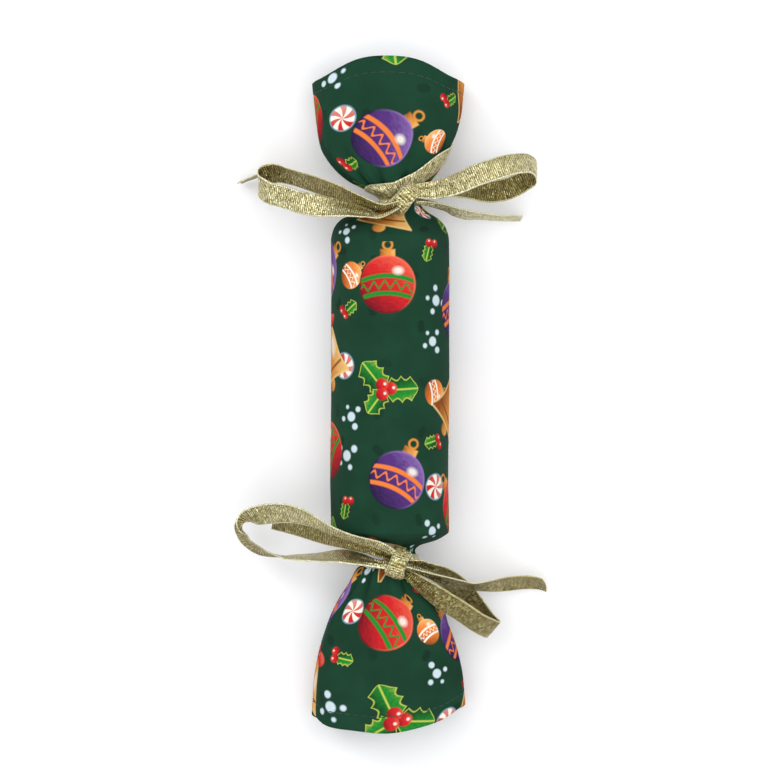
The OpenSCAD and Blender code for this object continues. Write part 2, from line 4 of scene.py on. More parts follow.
import bpy
import numpy as np
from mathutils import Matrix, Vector


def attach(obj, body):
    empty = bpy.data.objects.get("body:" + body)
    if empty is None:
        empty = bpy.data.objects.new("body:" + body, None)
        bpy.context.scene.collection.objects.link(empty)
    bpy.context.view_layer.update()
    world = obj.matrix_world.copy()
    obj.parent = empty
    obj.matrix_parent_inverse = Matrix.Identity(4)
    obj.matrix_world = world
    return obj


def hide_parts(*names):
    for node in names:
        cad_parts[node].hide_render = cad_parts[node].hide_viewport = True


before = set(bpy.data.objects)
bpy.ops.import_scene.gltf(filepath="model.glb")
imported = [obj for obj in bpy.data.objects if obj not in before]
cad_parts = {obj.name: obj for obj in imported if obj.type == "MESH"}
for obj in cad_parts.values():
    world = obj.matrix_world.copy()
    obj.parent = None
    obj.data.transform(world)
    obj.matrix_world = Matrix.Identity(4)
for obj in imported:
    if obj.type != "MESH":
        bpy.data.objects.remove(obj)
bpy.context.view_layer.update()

MM = 0.001

# Sizes of the model in millimetres, as its solids have them
BARREL_R = 26.25
BARREL_END = 64.5
CLOTH_T = 1.0
AXIS_Z = 25.75
TUBE_R = 25.05
TUBE_END = 63.0
FAR_SHOULDER_L = 17.8
NEAR_SHOULDER_L = 12.5
NECK_HALF_W = 6.3
NECK_HALF_H = 7.5
NECK_SHIFT = 5.0
FAR_FLARE_L = 63.2
NEAR_FLARE_L = 77.2
MOUTH_HALF_W = 33.9
MOUTH_HALF_H = 16.0
MOUTH_Z = 16.3
FAR_EDGE_SAG = 11.6
NEAR_EDGE_SAG = 9.1
NEAR_EDGE_SKEW = 2.2
RIBBON_W = 10.0
BOW_REACH = 65.0
KNOT_L = 13.0
KNOT_W = 10.0
KNOT_T = 7.0
KNOT_Z = 39.08
FAR_NECK_Y = BARREL_END + FAR_SHOULDER_L
NEAR_NECK_Y = -BARREL_END - NEAR_SHOULDER_L
FAR_KNOT = np.array([NECK_SHIFT + 0.4 * NECK_HALF_W, FAR_NECK_Y + 0.1 * KNOT_L, KNOT_Z])
NEAR_KNOT = np.array([NECK_SHIFT - 0.2 * NECK_HALF_W, NEAR_NECK_Y - 0.1 * KNOT_L, KNOT_Z])

# Sizes that only the looks have
# The cloth was cut as a tube of this girth before it was gathered
CLOTH_GIRTH = 165.0
# The ribbon between its corded edges, how low it may hang, and its length round a knot
RIBBON_T = 0.45
RIBBON_LEAST_Z = 0.35
KNOT_GIRTH = 34.0

# Share of the way to the neck, of the widening in width and in height, of the shift, of the drop
FAR_SHOULDER_SHARES = [
    (0.06, 0.99, 0.99, 0, 0), (0.28, 0.93, 0.73, 0, 0), (0.50, 0.77, 0.37, 0, 0),
    (0.72, 0.37, 0.14, 0.4, 0), (0.90, 0.09, 0.04, 0.9, 0), (1, 0, 0, 1, 0),
]
NEAR_SHOULDER_SHARES = [
    (0.06, 0.99, 0.99, 0, 0), (0.22, 0.87, 0.80, 0, 0), (0.38, 0.66, 0.46, 0, 0),
    (0.54, 0.28, 0.18, 0.2, 0), (0.74, 0.06, 0.05, 0.6, 0), (1, 0, 0, 1, 0),
]
# Share of the way to the mouth, of the mouth's half width and height, of the shift, of the drop
FAR_FLARE_SHARES = [
    (0.07, 0.36, 0.55, 0.35, 0), (0.14, 0.53, 0.65, -0.1, 0.03), (0.25, 0.70, 0.78, -0.32, 0.10),
    (0.38, 0.83, 0.89, -0.47, 0.25), (0.54, 0.92, 0.97, -0.32, 0.50),
    (0.74, 0.97, 1, -0.24, 0.78), (1, 1, 1, -0.22, 1),
]
NEAR_FLARE_SHARES = [
    (0.05, 0.36, 0.52, -0.2, 0), (0.11, 0.42, 0.60, -0.4, 0.02), (0.19, 0.53, 0.70, -0.4, 0.06),
    (0.28, 0.69, 0.79, -0.2, 0.13), (0.41, 0.80, 0.89, -0.32, 0.30),
    (0.58, 0.91, 0.97, -0.32, 0.55), (0.79, 0.98, 1, -0.27, 0.82), (1, 1, 1, -0.22, 1),
]

# Ribbon rows: place from the knot as shares of the reach, height as a share of the knot's,
# the way that the band's upper edge leans, and the share of its width that is spread
FAR_LEFT_LOOP = [
    (-0.05, -0.05, 1.04, 0, 0.2, 1, 0.4), (-0.17, -0.08, 1.11, 0, 0.26, 0.97, 0.55),
    (-0.32, -0.035, 1.11, 0, 0.57, 0.82, 0.85), (-0.44, 0.017, 1.06, 0, 0.64, 0.77, 1),
    (-0.56, 0.06, 0.98, 0, 0.68, 0.73, 1), (-0.68, 0.10, 0.86, 0, 0.68, 0.73, 1),
    (-0.80, 0.14, 0.73, 0, 0.7, 0.7, 1), (-0.90, 0.165, 0.64, 0, 0.79, 0.6, 1),
    (-0.985, 0.14, 0.62, 0, 0.9, 0.4, 1), (-1.01, 0.08, 0.70, 0, 0.95, 0.25, 1),
    (-0.95, 0.025, 0.80, 0, 0.98, 0.17, 1), (-0.85, -0.005, 0.90, 0, 0.98, 0.17, 1),
    (-0.73, -0.045, 1.00, 0, 1, 0.02, 1), (-0.585, -0.072, 1.08, 0, 0.94, -0.3, 1),
    (-0.425, -0.09, 1.13, 0, 0.77, -0.64, 0.95), (-0.29, -0.117, 1.16, 0, 0.57, -0.82, 0.8),
    (-0.185, -0.143, 1.17, 0, 0.25, -0.97, 0.6), (-0.06, -0.095, 1.08, 0, 0.2, -1, 0.4),
]
FAR_RIGHT_LOOP = [
    (0.06, 0.03, 1.04, 0, 0.9, -0.3, 0.65), (0.20, 0.04, 1.09, 0, 0.93, -0.34, 0.88),
    (0.34, 0.08, 1.13, 0, 0.95, -0.3, 1), (0.465, 0.135, 1.12, 0, 0.97, -0.22, 1),
    (0.57, 0.172, 1.07, 0, 0.96, -0.26, 1), (0.68, 0.208, 0.99, 0, 0.92, -0.38, 1),
    (0.765, 0.225, 0.90, 0, 0.87, -0.5, 1), (0.84, 0.226, 0.79, 0, 0.8, -0.5, 1),
    (0.885, 0.19, 0.69, 0, 0.8, -0.5, 1), (0.875, 0.14, 0.61, 0, 0.85, -0.5, 1),
    (0.80, 0.105, 0.57, 0, 0.94, -0.34, 1), (0.72, 0.066, 0.58, 0, 0.95, -0.3, 1),
    (0.63, 0.04, 0.63, 0, 0.95, -0.3, 1), (0.53, 0.03, 0.71, 0, 0.93, -0.36, 1),
    (0.40, 0.04, 0.81, 0, 0.85, -0.53, 0.9), (0.25, 0.04, 0.91, 0, 0.8, -0.6, 0.7),
    (0.06, 0.015, 0.97, 0, 0.8, -0.6, 0.45),
]
FAR_LEFT_TAIL = [
    (-0.05, -0.05, 0.95, 0, 1, 0.3, 0.35), (-0.17, -0.08, 0.965, 0, 0.2, 1, 0.38),
    (-0.28, -0.06, 0.90, 0, 0.15, 1, 0.6), (-0.42, -0.01, 0.72, 0, 0.3, 0.95, 0.9),
    (-0.56, 0.05, 0.60, 0, 0.3, 0.95, 1), (-0.72, 0.11, 0.45, 0, 0.2, 0.97, 1),
    (-0.88, 0.15, 0.30, 0, 0.1, 0.99, 1), (-1.0, 0.163, 0.21, 0, 0.05, 1, 1),
    (-1.09, 0.138, 0.17, 0, 0.05, 1, 1), (-1.155, 0.11, 0.16, 0, 0.08, 0.99, 1),
]
FAR_RIGHT_TAIL = [
    (0.06, -0.04, 0.97, 0, 0.3, 0.95, 0.4), (0.15, -0.05, 0.92, 0, 0.33, 0.94, 0.6),
    (0.26, -0.078, 0.83, 0, 0.3, 0.95, 0.85), (0.34, -0.108, 0.76, 0, 0.28, 0.96, 1),
    (0.43, -0.13, 0.62, 0, 0.25, 0.97, 1), (0.53, -0.135, 0.45, 0, 0.2, 0.98, 1),
    (0.64, -0.14, 0.29, 0, 0.17, 0.98, 1), (0.79, -0.14, 0.18, 0, 0.15, 0.99, 1),
]
NEAR_LEFT_LOOP = [
    (-0.04, 0.06, 1.05, 0, 0.3, 0.95, 0.4), (-0.13, 0.11, 1.16, 0, 0.36, 0.93, 0.55),
    (-0.29, 0.155, 1.26, 0, 0.4, 0.92, 0.85), (-0.45, 0.215, 1.28, 0, 0.4, 0.92, 1),
    (-0.565, 0.275, 1.22, 0, 0.5, 0.87, 1), (-0.68, 0.318, 1.11, 0, 0.75, 0.66, 1),
    (-0.80, 0.332, 0.97, 0, 0.85, 0.52, 1), (-0.93, 0.318, 0.80, 0, 0.8, 0.6, 1),
    (-1.03, 0.285, 0.66, 0.1, 0.6, 0.8, 1), (-1.075, 0.23, 0.57, 0.3, 0.3, 0.9, 1),
    (-1.06, 0.165, 0.50, 0.42, 0.05, 0.9, 1), (-1.02, 0.115, 0.45, 0.4, 0.2, 0.9, 1),
    (-0.95, 0.07, 0.43, 0.25, 0.33, 0.9, 1), (-0.86, 0.045, 0.46, 0, 0.2, 0.98, 1),
    (-0.73, 0.03, 0.55, 0, -0.2, 0.98, 1), (-0.56, 0.033, 0.69, 0, -0.3, 0.95, 1),
    (-0.40, 0.042, 0.80, 0, -0.5, 0.87, 1), (-0.28, 0.025, 0.88, 0, -0.6, 0.8, 0.9),
    (-0.17, 0.003, 0.94, 0, -0.5, 0.87, 0.7), (-0.05, -0.02, 0.98, 0, -0.4, 0.9, 0.45),
]
NEAR_RIGHT_LOOP = [
    (0.05, -0.065, 0.95, 0.3, 0.5, 0.6, 0.35), (0.12, -0.125, 1.02, 0.4, 0.6, 0.6, 0.8),
    (0.205, -0.19, 1.01, 0.45, 0.65, 0.55, 0.95), (0.315, -0.268, 0.96, 0.53, 0.7, 0.45, 1),
    (0.425, -0.338, 0.87, 0.56, 0.7, 0.43, 1), (0.53, -0.412, 0.74, 0.6, 0.7, 0.38, 1),
    (0.605, -0.455, 0.62, 0.64, 0.7, 0.3, 1), (0.652, -0.475, 0.52, 0.65, 0.69, 0.3, 1),
    (0.636, -0.45, 0.42, 0.62, 0.7, 0.35, 1), (0.592, -0.398, 0.38, 0.57, 0.7, 0.4, 1),
    (0.538, -0.322, 0.39, 0.52, 0.7, 0.5, 1), (0.48, -0.237, 0.44, 0.45, 0.68, 0.6, 1),
    (0.41, -0.175, 0.53, 0.4, 0.75, 0.5, 1), (0.33, -0.112, 0.66, 0.3, 0.72, 0.58, 1),
    (0.24, -0.06, 0.80, 0.15, 0.62, 0.75, 0.9), (0.15, -0.012, 0.90, 0, 0.4, 0.9, 0.7),
    (0.06, -0.003, 0.95, 0, 0.4, 0.9, 0.5),
]
NEAR_LEFT_TAIL = [
    (-0.05, 0.037, 0.95, 0, 0.8, 0.5, 0.4), (-0.20, 0.085, 1.01, 0, 0.7, 0.7, 0.55),
    (-0.36, 0.135, 1.06, 0, 0.73, 0.68, 0.8), (-0.48, 0.176, 1.02, 0, 0.75, 0.66, 1),
    (-0.64, 0.226, 0.86, 0, 0.78, 0.62, 1), (-0.77, 0.259, 0.70, 0, 0.8, 0.6, 1),
    (-0.86, 0.28, 0.56, 0, 0.8, 0.6, 1),
]
NEAR_RIGHT_TAIL = [
    (0.05, -0.02, 1.07, 0, 0.4, 0.9, 0.35), (0.18, -0.065, 1.05, 0, 0.42, 0.9, 0.6),
    (0.28, -0.105, 0.99, 0, 0.4, 0.92, 0.85), (0.39, -0.143, 0.89, 0, 0.35, 0.94, 1),
    (0.49, -0.163, 0.79, 0, 0.3, 0.95, 1), (0.59, -0.162, 0.65, 0, 0.4, 0.92, 1),
    (0.73, -0.157, 0.42, 0, 0.55, 0.83, 1), (0.865, -0.151, 0.27, 0, 0.6, 0.8, 1),
    (0.965, -0.16, 0.19, 0, 0.55, 0.83, 1), (1.02, -0.185, 0.165, 0, 0.4, 0.9, 1),
]


# Curves through listed rows


def through(rows, u):
    """A Catmull-Rom curve through rows of numbers, at the places u, which count the rows from 0."""
    last = len(rows) - 1
    i = np.clip(np.floor(u).astype(int), 0, last - 1)
    t = (u - i)[:, None]
    a, b = rows[np.maximum(i - 1, 0)], rows[i]
    c, d = rows[i + 1], rows[np.minimum(i + 2, last)]
    square = (2 * a - 5 * b + 4 * c - d) * t**2
    cube = (3 * b - a - 3 * c + d) * t**3
    return b + (c - a) * t / 2 + square / 2 + cube / 2


def monotone(x, rows, at):
    """A cubic curve through rows at the rising places x that never overshoots them."""
    step = np.diff(x)[:, None]
    rise = np.diff(rows, axis=0) / step
    before, after = rise[:-1], rise[1:]
    same_way = before * after > 0
    product = np.where(same_way, before * after, 0)
    total = np.where(same_way, before + after, 1)
    slope = np.concatenate([rise[:1], 2 * product / total, rise[-1:]])
    i = np.clip(np.searchsorted(x, at) - 1, 0, len(x) - 2)
    t = ((at - x[i]) / step[i, 0])[:, None]
    h = step[i]
    return (
        rows[i] * (1 + 2 * t) * (1 - t) ** 2
        + slope[i] * h * t * (1 - t) ** 2
        + rows[i + 1] * t**2 * (3 - 2 * t)
        + slope[i + 1] * h * t**2 * (t - 1)
    )


def unit(v):
    return v / np.maximum(np.linalg.norm(v, axis=-1, keepdims=True), 1e-9)


def bump_at(x, centre, width):
    return np.exp(-(((x - centre) / width) ** 2))


def spaced(start, stop, step):
    return np.linspace(start, stop, max(2, int(round(abs(stop - start) / step)) + 1))


def turn_steps(count):
    """Angles that go once round in even steps."""
    return np.arange(count) * math.tau / count


def running(steps):
    """The sum of the steps before each place."""
    return np.concatenate([[0], np.cumsum(steps)])


# Meshes from grids of points, in millimetres


def linked(name, data):
    """A new object in the scene."""
    obj = bpy.data.objects.new(name, data)
    bpy.context.scene.collection.objects.link(obj)
    return obj


def smooth_mesh(name, points, faces, materials):
    mesh = bpy.data.meshes.new(name)
    mesh.from_pydata((points.reshape(-1, 3) * MM).tolist(), [], faces)
    mesh.polygons.foreach_set("use_smooth", np.ones(len(faces), bool))
    for material in materials:
        mesh.materials.append(material)
    return mesh


def two_faced(top, under):
    """The columns of a sheet's two faces, one after the other round it."""
    return np.concatenate([top, under[:, ::-1]], 1)


def there_and_back(place):
    """The flat places that go with the columns of two_faced, and the first of them again."""
    return np.concatenate([place, place[::-1], place[:1]])


def flat_uv(x, y):
    return np.stack(np.broadcast_arrays(x, y), -1) * MM


def grid_object(name, points, uv, materials, ring=False, flipped=False):
    """A mesh from a grid whose columns close round it. ring closes its rows as well; otherwise
    a strip of faces between its two sides closes each end. flipped turns its faces over."""
    rows, columns = points.shape[:2]
    i, j = np.meshgrid(np.arange(rows if ring else rows - 1), np.arange(columns), indexing="ij")
    i, j = i.ravel(), j.ravel()
    corner_i = np.stack([i, i, i + 1, i + 1], 1)
    corner_j = np.stack([j, j + 1, j + 1, j], 1)
    if not ring:
        k = np.arange(columns // 2 - 1)
        cap = np.stack([k, columns - 1 - k, columns - 2 - k, k + 1], 1)
        corner_i = np.concatenate([corner_i, 0 * cap, 0 * cap + rows - 1])
        corner_j = np.concatenate([corner_j, cap, cap[:, ::-1]])
    faces = corner_i % rows * columns + corner_j % columns
    mesh = smooth_mesh(name, points, faces.tolist(), materials)
    flat = uv[corner_i.ravel(), corner_j.ravel()]
    mesh.uv_layers.new(name="Flat").data.foreach_set("uv", flat.astype(np.float32).ravel())
    if flipped:
        mesh.flip_normals()
    return linked(name, mesh)


# Writing materials as arithmetic


class Value:
    """A number, a vector or a colour in a tree of nodes. Arithmetic on it adds Math nodes."""

    def __init__(self, socket):
        self.socket = socket

    def __add__(self, other):
        return maths("ADD", self, other)

    def __sub__(self, other):
        return maths("SUBTRACT", self, other)

    def __rsub__(self, other):
        return maths("SUBTRACT", other, self)

    def __mul__(self, other):
        return maths("MULTIPLY", self, other)

    def __truediv__(self, other):
        return maths("DIVIDE", self, other)

    __radd__, __rmul__ = __add__, __mul__


def put(socket, value):
    if isinstance(value, Value):
        socket.id_data.links.new(value.socket, socket)
    elif socket.type == "RGBA" and len(value) == 3:
        socket.default_value = (*value, 1)
    else:
        socket.default_value = value


def add_node(tree, kind, values=(), **settings):
    """A node with its settings. values are its inputs, in order or by name."""
    made = tree.nodes.new(kind)
    for key, value in settings.items():
        setattr(made, key, value)
    for key, value in values.items() if isinstance(values, dict) else enumerate(values):
        put(made.inputs[key], value)
    return made


def result(kind, values, output=0, **settings):
    """What a new node gives, in the tree that its values are in."""
    given = values.values() if isinstance(values, dict) else values
    tree = next(value.socket.id_data for value in given if isinstance(value, Value))
    return Value(add_node(tree, "ShaderNode" + kind, values, **settings).outputs[output])


def maths(operation, *values, clamp=False):
    return result("Math", values, operation=operation, use_clamp=clamp)


def vector_maths(operation, *values):
    return result("VectorMath", values, operation=operation)


def most(a, b):
    return maths("MAXIMUM", a, b)


def size_of(a):
    return maths("ABSOLUTE", a)


def sine(a):
    return maths("SINE", a)


def away(x, y):
    """The distance from the origin."""
    return maths("SQRT", x * x + y * y)


def inside(beyond, softness=0.5):
    """1 where a distance in millimetres is below zero, 0 above, over a soft edge."""
    return maths("MULTIPLY_ADD", beyond, -1 / softness, 0.5, clamp=True)


def ramp(value, low, high):
    return maths("MULTIPLY_ADD", value, 1 / (high - low), -low / (high - low), clamp=True)


def mix(share, a, b):
    """A colour between a and b."""
    return result("Mix", {"Factor": share, 6: a, 7: b}, 2, data_type="RGBA")


def between(share, a, b):
    """A number between a and b."""
    return result("Mix", {"Factor": share, 2: a, 3: b}, data_type="FLOAT")


def vector(x, y, z=0.0):
    return result("CombineXYZ", (x, y, z))


def split(whole):
    first = result("SeparateXYZ", (whole,))
    return [Value(socket) for socket in first.socket.node.outputs]


def noise(place, scale, detail=3.0, roughness=0.55):
    values = {"Vector": place, "Scale": scale, "Detail": detail, "Roughness": roughness}
    return result("TexNoise", values, "Fac")


def bump(height, distance, strength):
    return result("Bump", {"Height": height, "Distance": distance, "Strength": strength})


def tilted(normal, chance, amount):
    """A normal tilted by up to half of amount, by a random colour that stands for a direction."""
    tilt = vector_maths("MULTIPLY_ADD", chance, (amount,) * 3, (-amount / 2,) * 3)
    return vector_maths("NORMALIZE", vector_maths("ADD", tilt, normal))


class Look:
    """A new material and its nodes."""

    def __init__(self, name):
        self.material = bpy.data.materials.new(name)
        self.material.use_nodes = True
        self.tree = self.material.node_tree
        self.shader = self.tree.nodes["Principled BSDF"]

    def flat_place(self):
        """The place on the flat, uncut cloth or ribbon, in millimetres."""
        x, y, _ = split(Value(add_node(self.tree, "ShaderNodeUVMap", uv_map="Flat").outputs[0]))
        return x * 1000, y * 1000

    def solid_place(self):
        """The place in the solid, in metres."""
        return Value(add_node(self.tree, "ShaderNodeTexCoord").outputs["Object"])

    def finish(self, color, roughness, normal=None, **constants):
        values = {"Base Color": color, "Roughness": roughness}
        values.update((name.replace("_", " "), value) for name, value in constants.items())
        if normal is not None:
            values["Normal"] = normal
        for name, value in values.items():
            put(self.shader.inputs[name], value)
        return self.material


def srgb(r, g, b):
    """A colour from its screen values of 0 to 255, as light."""
    return tuple((c / 255 / 12.92) if c < 11 else ((c / 255 + 0.055) / 1.055) ** 2.4 for c in (r, g, b))


def rotated(x, y, angle):
    """The place seen from axes turned by an angle, which may be a number or a value."""
    if isinstance(angle, Value):
        c, s = maths("COSINE", angle), sine(angle)
    else:
        c, s = math.cos(angle), math.sin(angle)
    return x * c + y * s, y * c - x * s


def motif_group(draw, tints):
    """A node group with a motif's drawing in it: its place and share come in, its colour goes out."""
    group = bpy.data.node_groups.new(draw.__name__, "ShaderNodeTree")
    kinds = ["Color", "Float", "Float", "Float"] + ["Color"] * tints
    for k, kind in enumerate(kinds):
        group.interface.new_socket(f"{kind} {k}", in_out="INPUT", socket_type="NodeSocket" + kind)
    group.interface.new_socket("Color", in_out="OUTPUT", socket_type="NodeSocketColor")
    given = [Value(socket) for socket in add_node(group, "NodeGroupInput").outputs]
    add_node(group, "NodeGroupOutput", (draw(*given[: len(kinds)]),))
    return group


def motif(draw, color, x, y, shown, *tints):
    """Lays a motif on color where shown is 1, through its group."""
    group = bpy.data.node_groups.get(draw.__name__) or motif_group(draw, len(tints))
    made = add_node(x.socket.id_data, "ShaderNodeGroup", node_tree=group)
    for socket, value in zip(made.inputs, (color, x, y, shown, *tints)):
        put(socket, value)
    return Value(made.outputs[0])


# The print: baubles, holly, bells and small sweets, tossed over a green ground

GROUND_DEEP, GROUND_LIGHT, GROUND_FAINT = srgb(20, 56, 38), srgb(26, 68, 48), srgb(14, 41, 28)
# Three tints of a colour: in its shade, its own, and in the light
GOLDS = GOLD_DEEP, GOLD, GOLD_PALE = srgb(140, 72, 30), srgb(222, 146, 62), srgb(245, 205, 130)
REDS = srgb(112, 12, 30), srgb(208, 34, 38), srgb(244, 110, 82)
PURPLES = srgb(38, 22, 62), srgb(84, 48, 120), srgb(150, 116, 186)
LEAVES = LEAF_DEEP, LEAF, LEAF_PALE = srgb(14, 78, 34), srgb(36, 138, 46), srgb(190, 204, 84)
RED, ORANGE = REDS[1], srgb(240, 128, 54)
CREAM = srgb(250, 244, 228)
SNOW = srgb(214, 232, 240)
SNOW_DEEP = srgb(120, 158, 176)

# One large motif a cell; four columns go round the sleeve
CELL_W = CLOTH_GIRTH / 4
CELL_H = 42.0
FULL_TURN = 6.3


def cell_places(x, y, shift, seed, jitter, turn, scale):
    """The place in a quarter-drop cell with random jitter and turn, and the cell's column, row and chance."""
    x, y = x + shift[0], y + shift[1]
    column = maths("FLOOR", x / CELL_W)
    drop = maths("MODULO", column * 3 + 40, 4)
    y = y + drop * (CELL_H / 4) + 10 * CELL_H
    row = maths("FLOOR", y / CELL_H)
    chances = result("TexWhiteNoise", (vector(column, row, seed),), "Color")
    first, second, third = split(chances)
    px = x - (column + 0.5) * CELL_W - (first - 0.5) * jitter
    py = y - (row + 0.5) * CELL_H - (second - 0.5) * jitter
    px, py = rotated(px, py, (third - 0.5) * turn)
    return px / scale, py / scale, column, row, third


def painted(color, share, x, y, tints, lit, reach):
    """Lays a motif on color where share is 1: its three tints in strokes, lit from one side."""
    stroke = noise(vector(x * 0.5 + y * 0.25, y * 1.3 - x * 0.2), 0.9, 4.0) - 0.5
    tone = ramp(x * lit[0] + y * lit[1] + stroke * reach * 0.9, -reach, reach)
    shade = mix(ramp(tone, 0.0, 0.5), tints[0], tints[1])
    shade = mix(ramp(tone, 0.6, 1.15), shade, tints[2])
    return mix(share, color, shade)


def laid(color, distance, share, tint, softness=0.5):
    """Lays one tint on color inside a shape, as far as share says."""
    return mix(inside(distance, softness) * share, color, tint)


def bauble(color, x, y, shown, dark, base, light, trim):
    """A glass bauble with two trim bands, a gold cap and a ring."""
    radius = 9.2
    ring = size_of(away(x, y - (radius + 4.0)) - 1.5) - 0.35
    color = laid(color, ring, shown, GOLD)
    cap = most(size_of(x) - 2.5, size_of(y - (radius + 0.9)) - 1.6)
    color = painted(color, inside(cap) * shown, x, y, GOLDS, (-1, 0), 3)
    ball = away(x, y) - radius
    color = laid(color, ball - 0.5, shown, mix(ramp(x - y, 6, -8), dark, light))
    inner = inside(ball) * shown
    color = painted(color, inner, x, y, (dark, base, light), (-0.6, 0.8), radius * 1.1)
    curve = y + x * x * 0.022
    band = size_of(size_of(curve) - 2.9) - 0.75
    color = laid(color, band, inner, trim)
    wave = size_of(curve - sine(x * 1.7) * 1.1) - 0.45
    color = laid(color, wave, inner, trim)
    glint = away(x + 3.6, (y - 4.6) * 1.35) - 1.7
    return laid(color, glint, inner * 0.85, CREAM, 1.6)


def leaf_shape(u, v, reach):
    """How far a place lies outside a holly leaf that runs from 0 to its reach along u."""
    along = (u - reach * 0.5) / (reach * 0.5)
    spines = size_of(sine(along * 5.6)) * (1 - size_of(along) * 0.3)
    width = reach * (0.36 - 0.13 * spines) * (1 - along * along * along * along)
    return most(size_of(v) - width, size_of(along) * reach * 0.5 - reach * 0.5)


def leaf(color, x, y, shown, angle, reach):
    """A holly leaf that points along an angle, from the sprig's middle."""
    u, v = rotated(x, y, angle)
    shape = leaf_shape(u, v, reach)
    color = laid(color, shape - 0.4, shown, LEAF_PALE, 0.4)
    inner = inside(shape, 0.4) * shown
    color = painted(color, inner, v, u - reach, LEAVES, (0.95, 0.25), reach * 0.36)
    veins = size_of(sine((u - size_of(v) * 1.1) * 1.5)) - 0.16
    color = laid(color, veins, inner * 0.4, LEAF_DEEP, 0.3)
    return laid(color, size_of(v) - 0.28, inner, LEAF_PALE, 0.35)


def berry(color, x, y, shown, at, radius):
    dx, dy = x - at[0], y - at[1]
    share = inside(away(dx, dy) - radius, 0.4) * shown
    color = painted(color, share, dx, dy, REDS, (-0.6, 0.8), radius * 1.2)
    glint = away(dx + radius * 0.35, dy - radius * 0.35) - radius * 0.2
    return laid(color, glint, share, CREAM, 0.5)


def sprig(color, x, y, shown, leaves, berries, berry_r):
    """Holly leaves, each with its angle and reach, and berries on them."""
    for angle, reach in leaves:
        color = leaf(color, x, y, shown, angle, reach)
    for at in berries:
        color = berry(color, x, y, shown, at, berry_r)
    return color


def holly(color, x, y, shown):
    leaves = ((0.35, 12.0), (2.55, 11.6), (-1.45, 9.5))
    return sprig(color, x, y, shown, leaves, ((-1.5, 1.6), (1.7, 1.2), (0.1, -1.5)), 2.1)


def twig(color, x, y, shown):
    return sprig(color, x, y, shown, ((-0.6, 7.0),), ((0.0, 0.8), (-2.2, -1.4)), 1.7)


def bell(color, x, y, shown):
    """A gold bell with a rim, a clapper and a red bow."""
    clapper = away(x, y + 8.4) - 1.9
    color = painted(color, inside(clapper) * shown, x, y + 8, GOLDS, (-1, 0), 2.5)
    height = ramp(y, -6.6, 8.2)
    dome = 1 - maths("POWER", height, 3.2)
    width = maths("SQRT", most(dome, 0.0)) * 5.6 + maths("POWER", 1 - height, 4) * 3.2
    body = most(size_of(x) - width, size_of(y - 0.6) - 7.4)
    color = laid(color, body - 0.5, shown, GOLD_PALE)
    inner = inside(body) * shown
    color = painted(color, inner, x, y, GOLDS, (-1, 0.1), 7)
    line = size_of(y + 4.4 - x * x * 0.02) - 0.35
    color = laid(color, line, inner, GOLD_DEEP)
    glow = away((x + 3.0) * 1.8, y - 1.5) - 3.0
    color = laid(color, glow, inner * 0.7, CREAM, 2.2)
    wing = away((size_of(x) - 3.2) * 0.75, y - 8.6 - size_of(x) * 0.15) - 2.1
    color = painted(color, inside(wing) * shown, x, y - 8.6, REDS, (-0.3, 0.9), 3)
    return berry(color, x, y, shown, (0.0, 8.6), 1.5)


def sweet(color, x, y, shown):
    """A round peppermint with a red and white swirl."""
    far = away(x, y)
    share = inside(far - 4.3, 0.4) * shown
    color = laid(color, far - 4.8, shown, SNOW_DEEP, 0.4)
    swirl = sine(maths("ARCTAN2", y, x) * 6 + far * 0.55)
    color = mix(share, color, mix(inside(swirl), CREAM, RED))
    shine = ramp(x - y, 3.0, -7.0)
    return mix(shine * share * 0.35, color, CREAM)


def snow_dots(color, x, y, shown):
    """A loose cluster of pale dots, like falling snow."""
    dots = ((0, 0, 1.9), (3.9, 2.1, 1.1), (-3.1, 3.0, 1.3), (-2.2, -3.7, 1.0), (3.0, -3.1, 0.8))
    for dot_x, dot_y, radius in dots:
        disc = away(x - dot_x, y - dot_y) - radius
        color = laid(color, disc, shown * 0.95, SNOW, 0.6)
    return color


def is_kind(value, kind):
    return maths("COMPARE", value, float(kind), 0.25)


def faint_leaves(color, x, y):
    """Leaves in a deeper green, at half the size of the motifs."""
    px, py, _, _, chance = cell_places(
        x * 2, y * 2, shift=(7, 3), seed=5.0, jitter=12, turn=FULL_TURN, scale=1.0
    )
    return laid(color, leaf_shape(px, py, 12.0), chance * 0.45 + 0.3, GROUND_FAINT, 1.2)


def large_motifs(color, x, y):
    px, py, column, row, _ = cell_places(
        x, y, shift=(CELL_W / 2, 0), seed=1.0, jitter=7.0, turn=2.2, scale=1.32
    )
    kind = maths("MODULO", column * 2 + row + 9, 4)
    is_red, is_purple = is_kind(kind, 0), is_kind(kind, 2)
    tints = [mix(is_red, a, b) for a, b in zip((*PURPLES, ORANGE), (*REDS, LEAF))]
    color = motif(bauble, color, px, py, most(is_red, is_purple), *tints)
    color = motif(bell, color, px / 1.25, py / 1.25, is_kind(kind, 1))
    return motif(holly, color, px, py, is_kind(kind, 3))


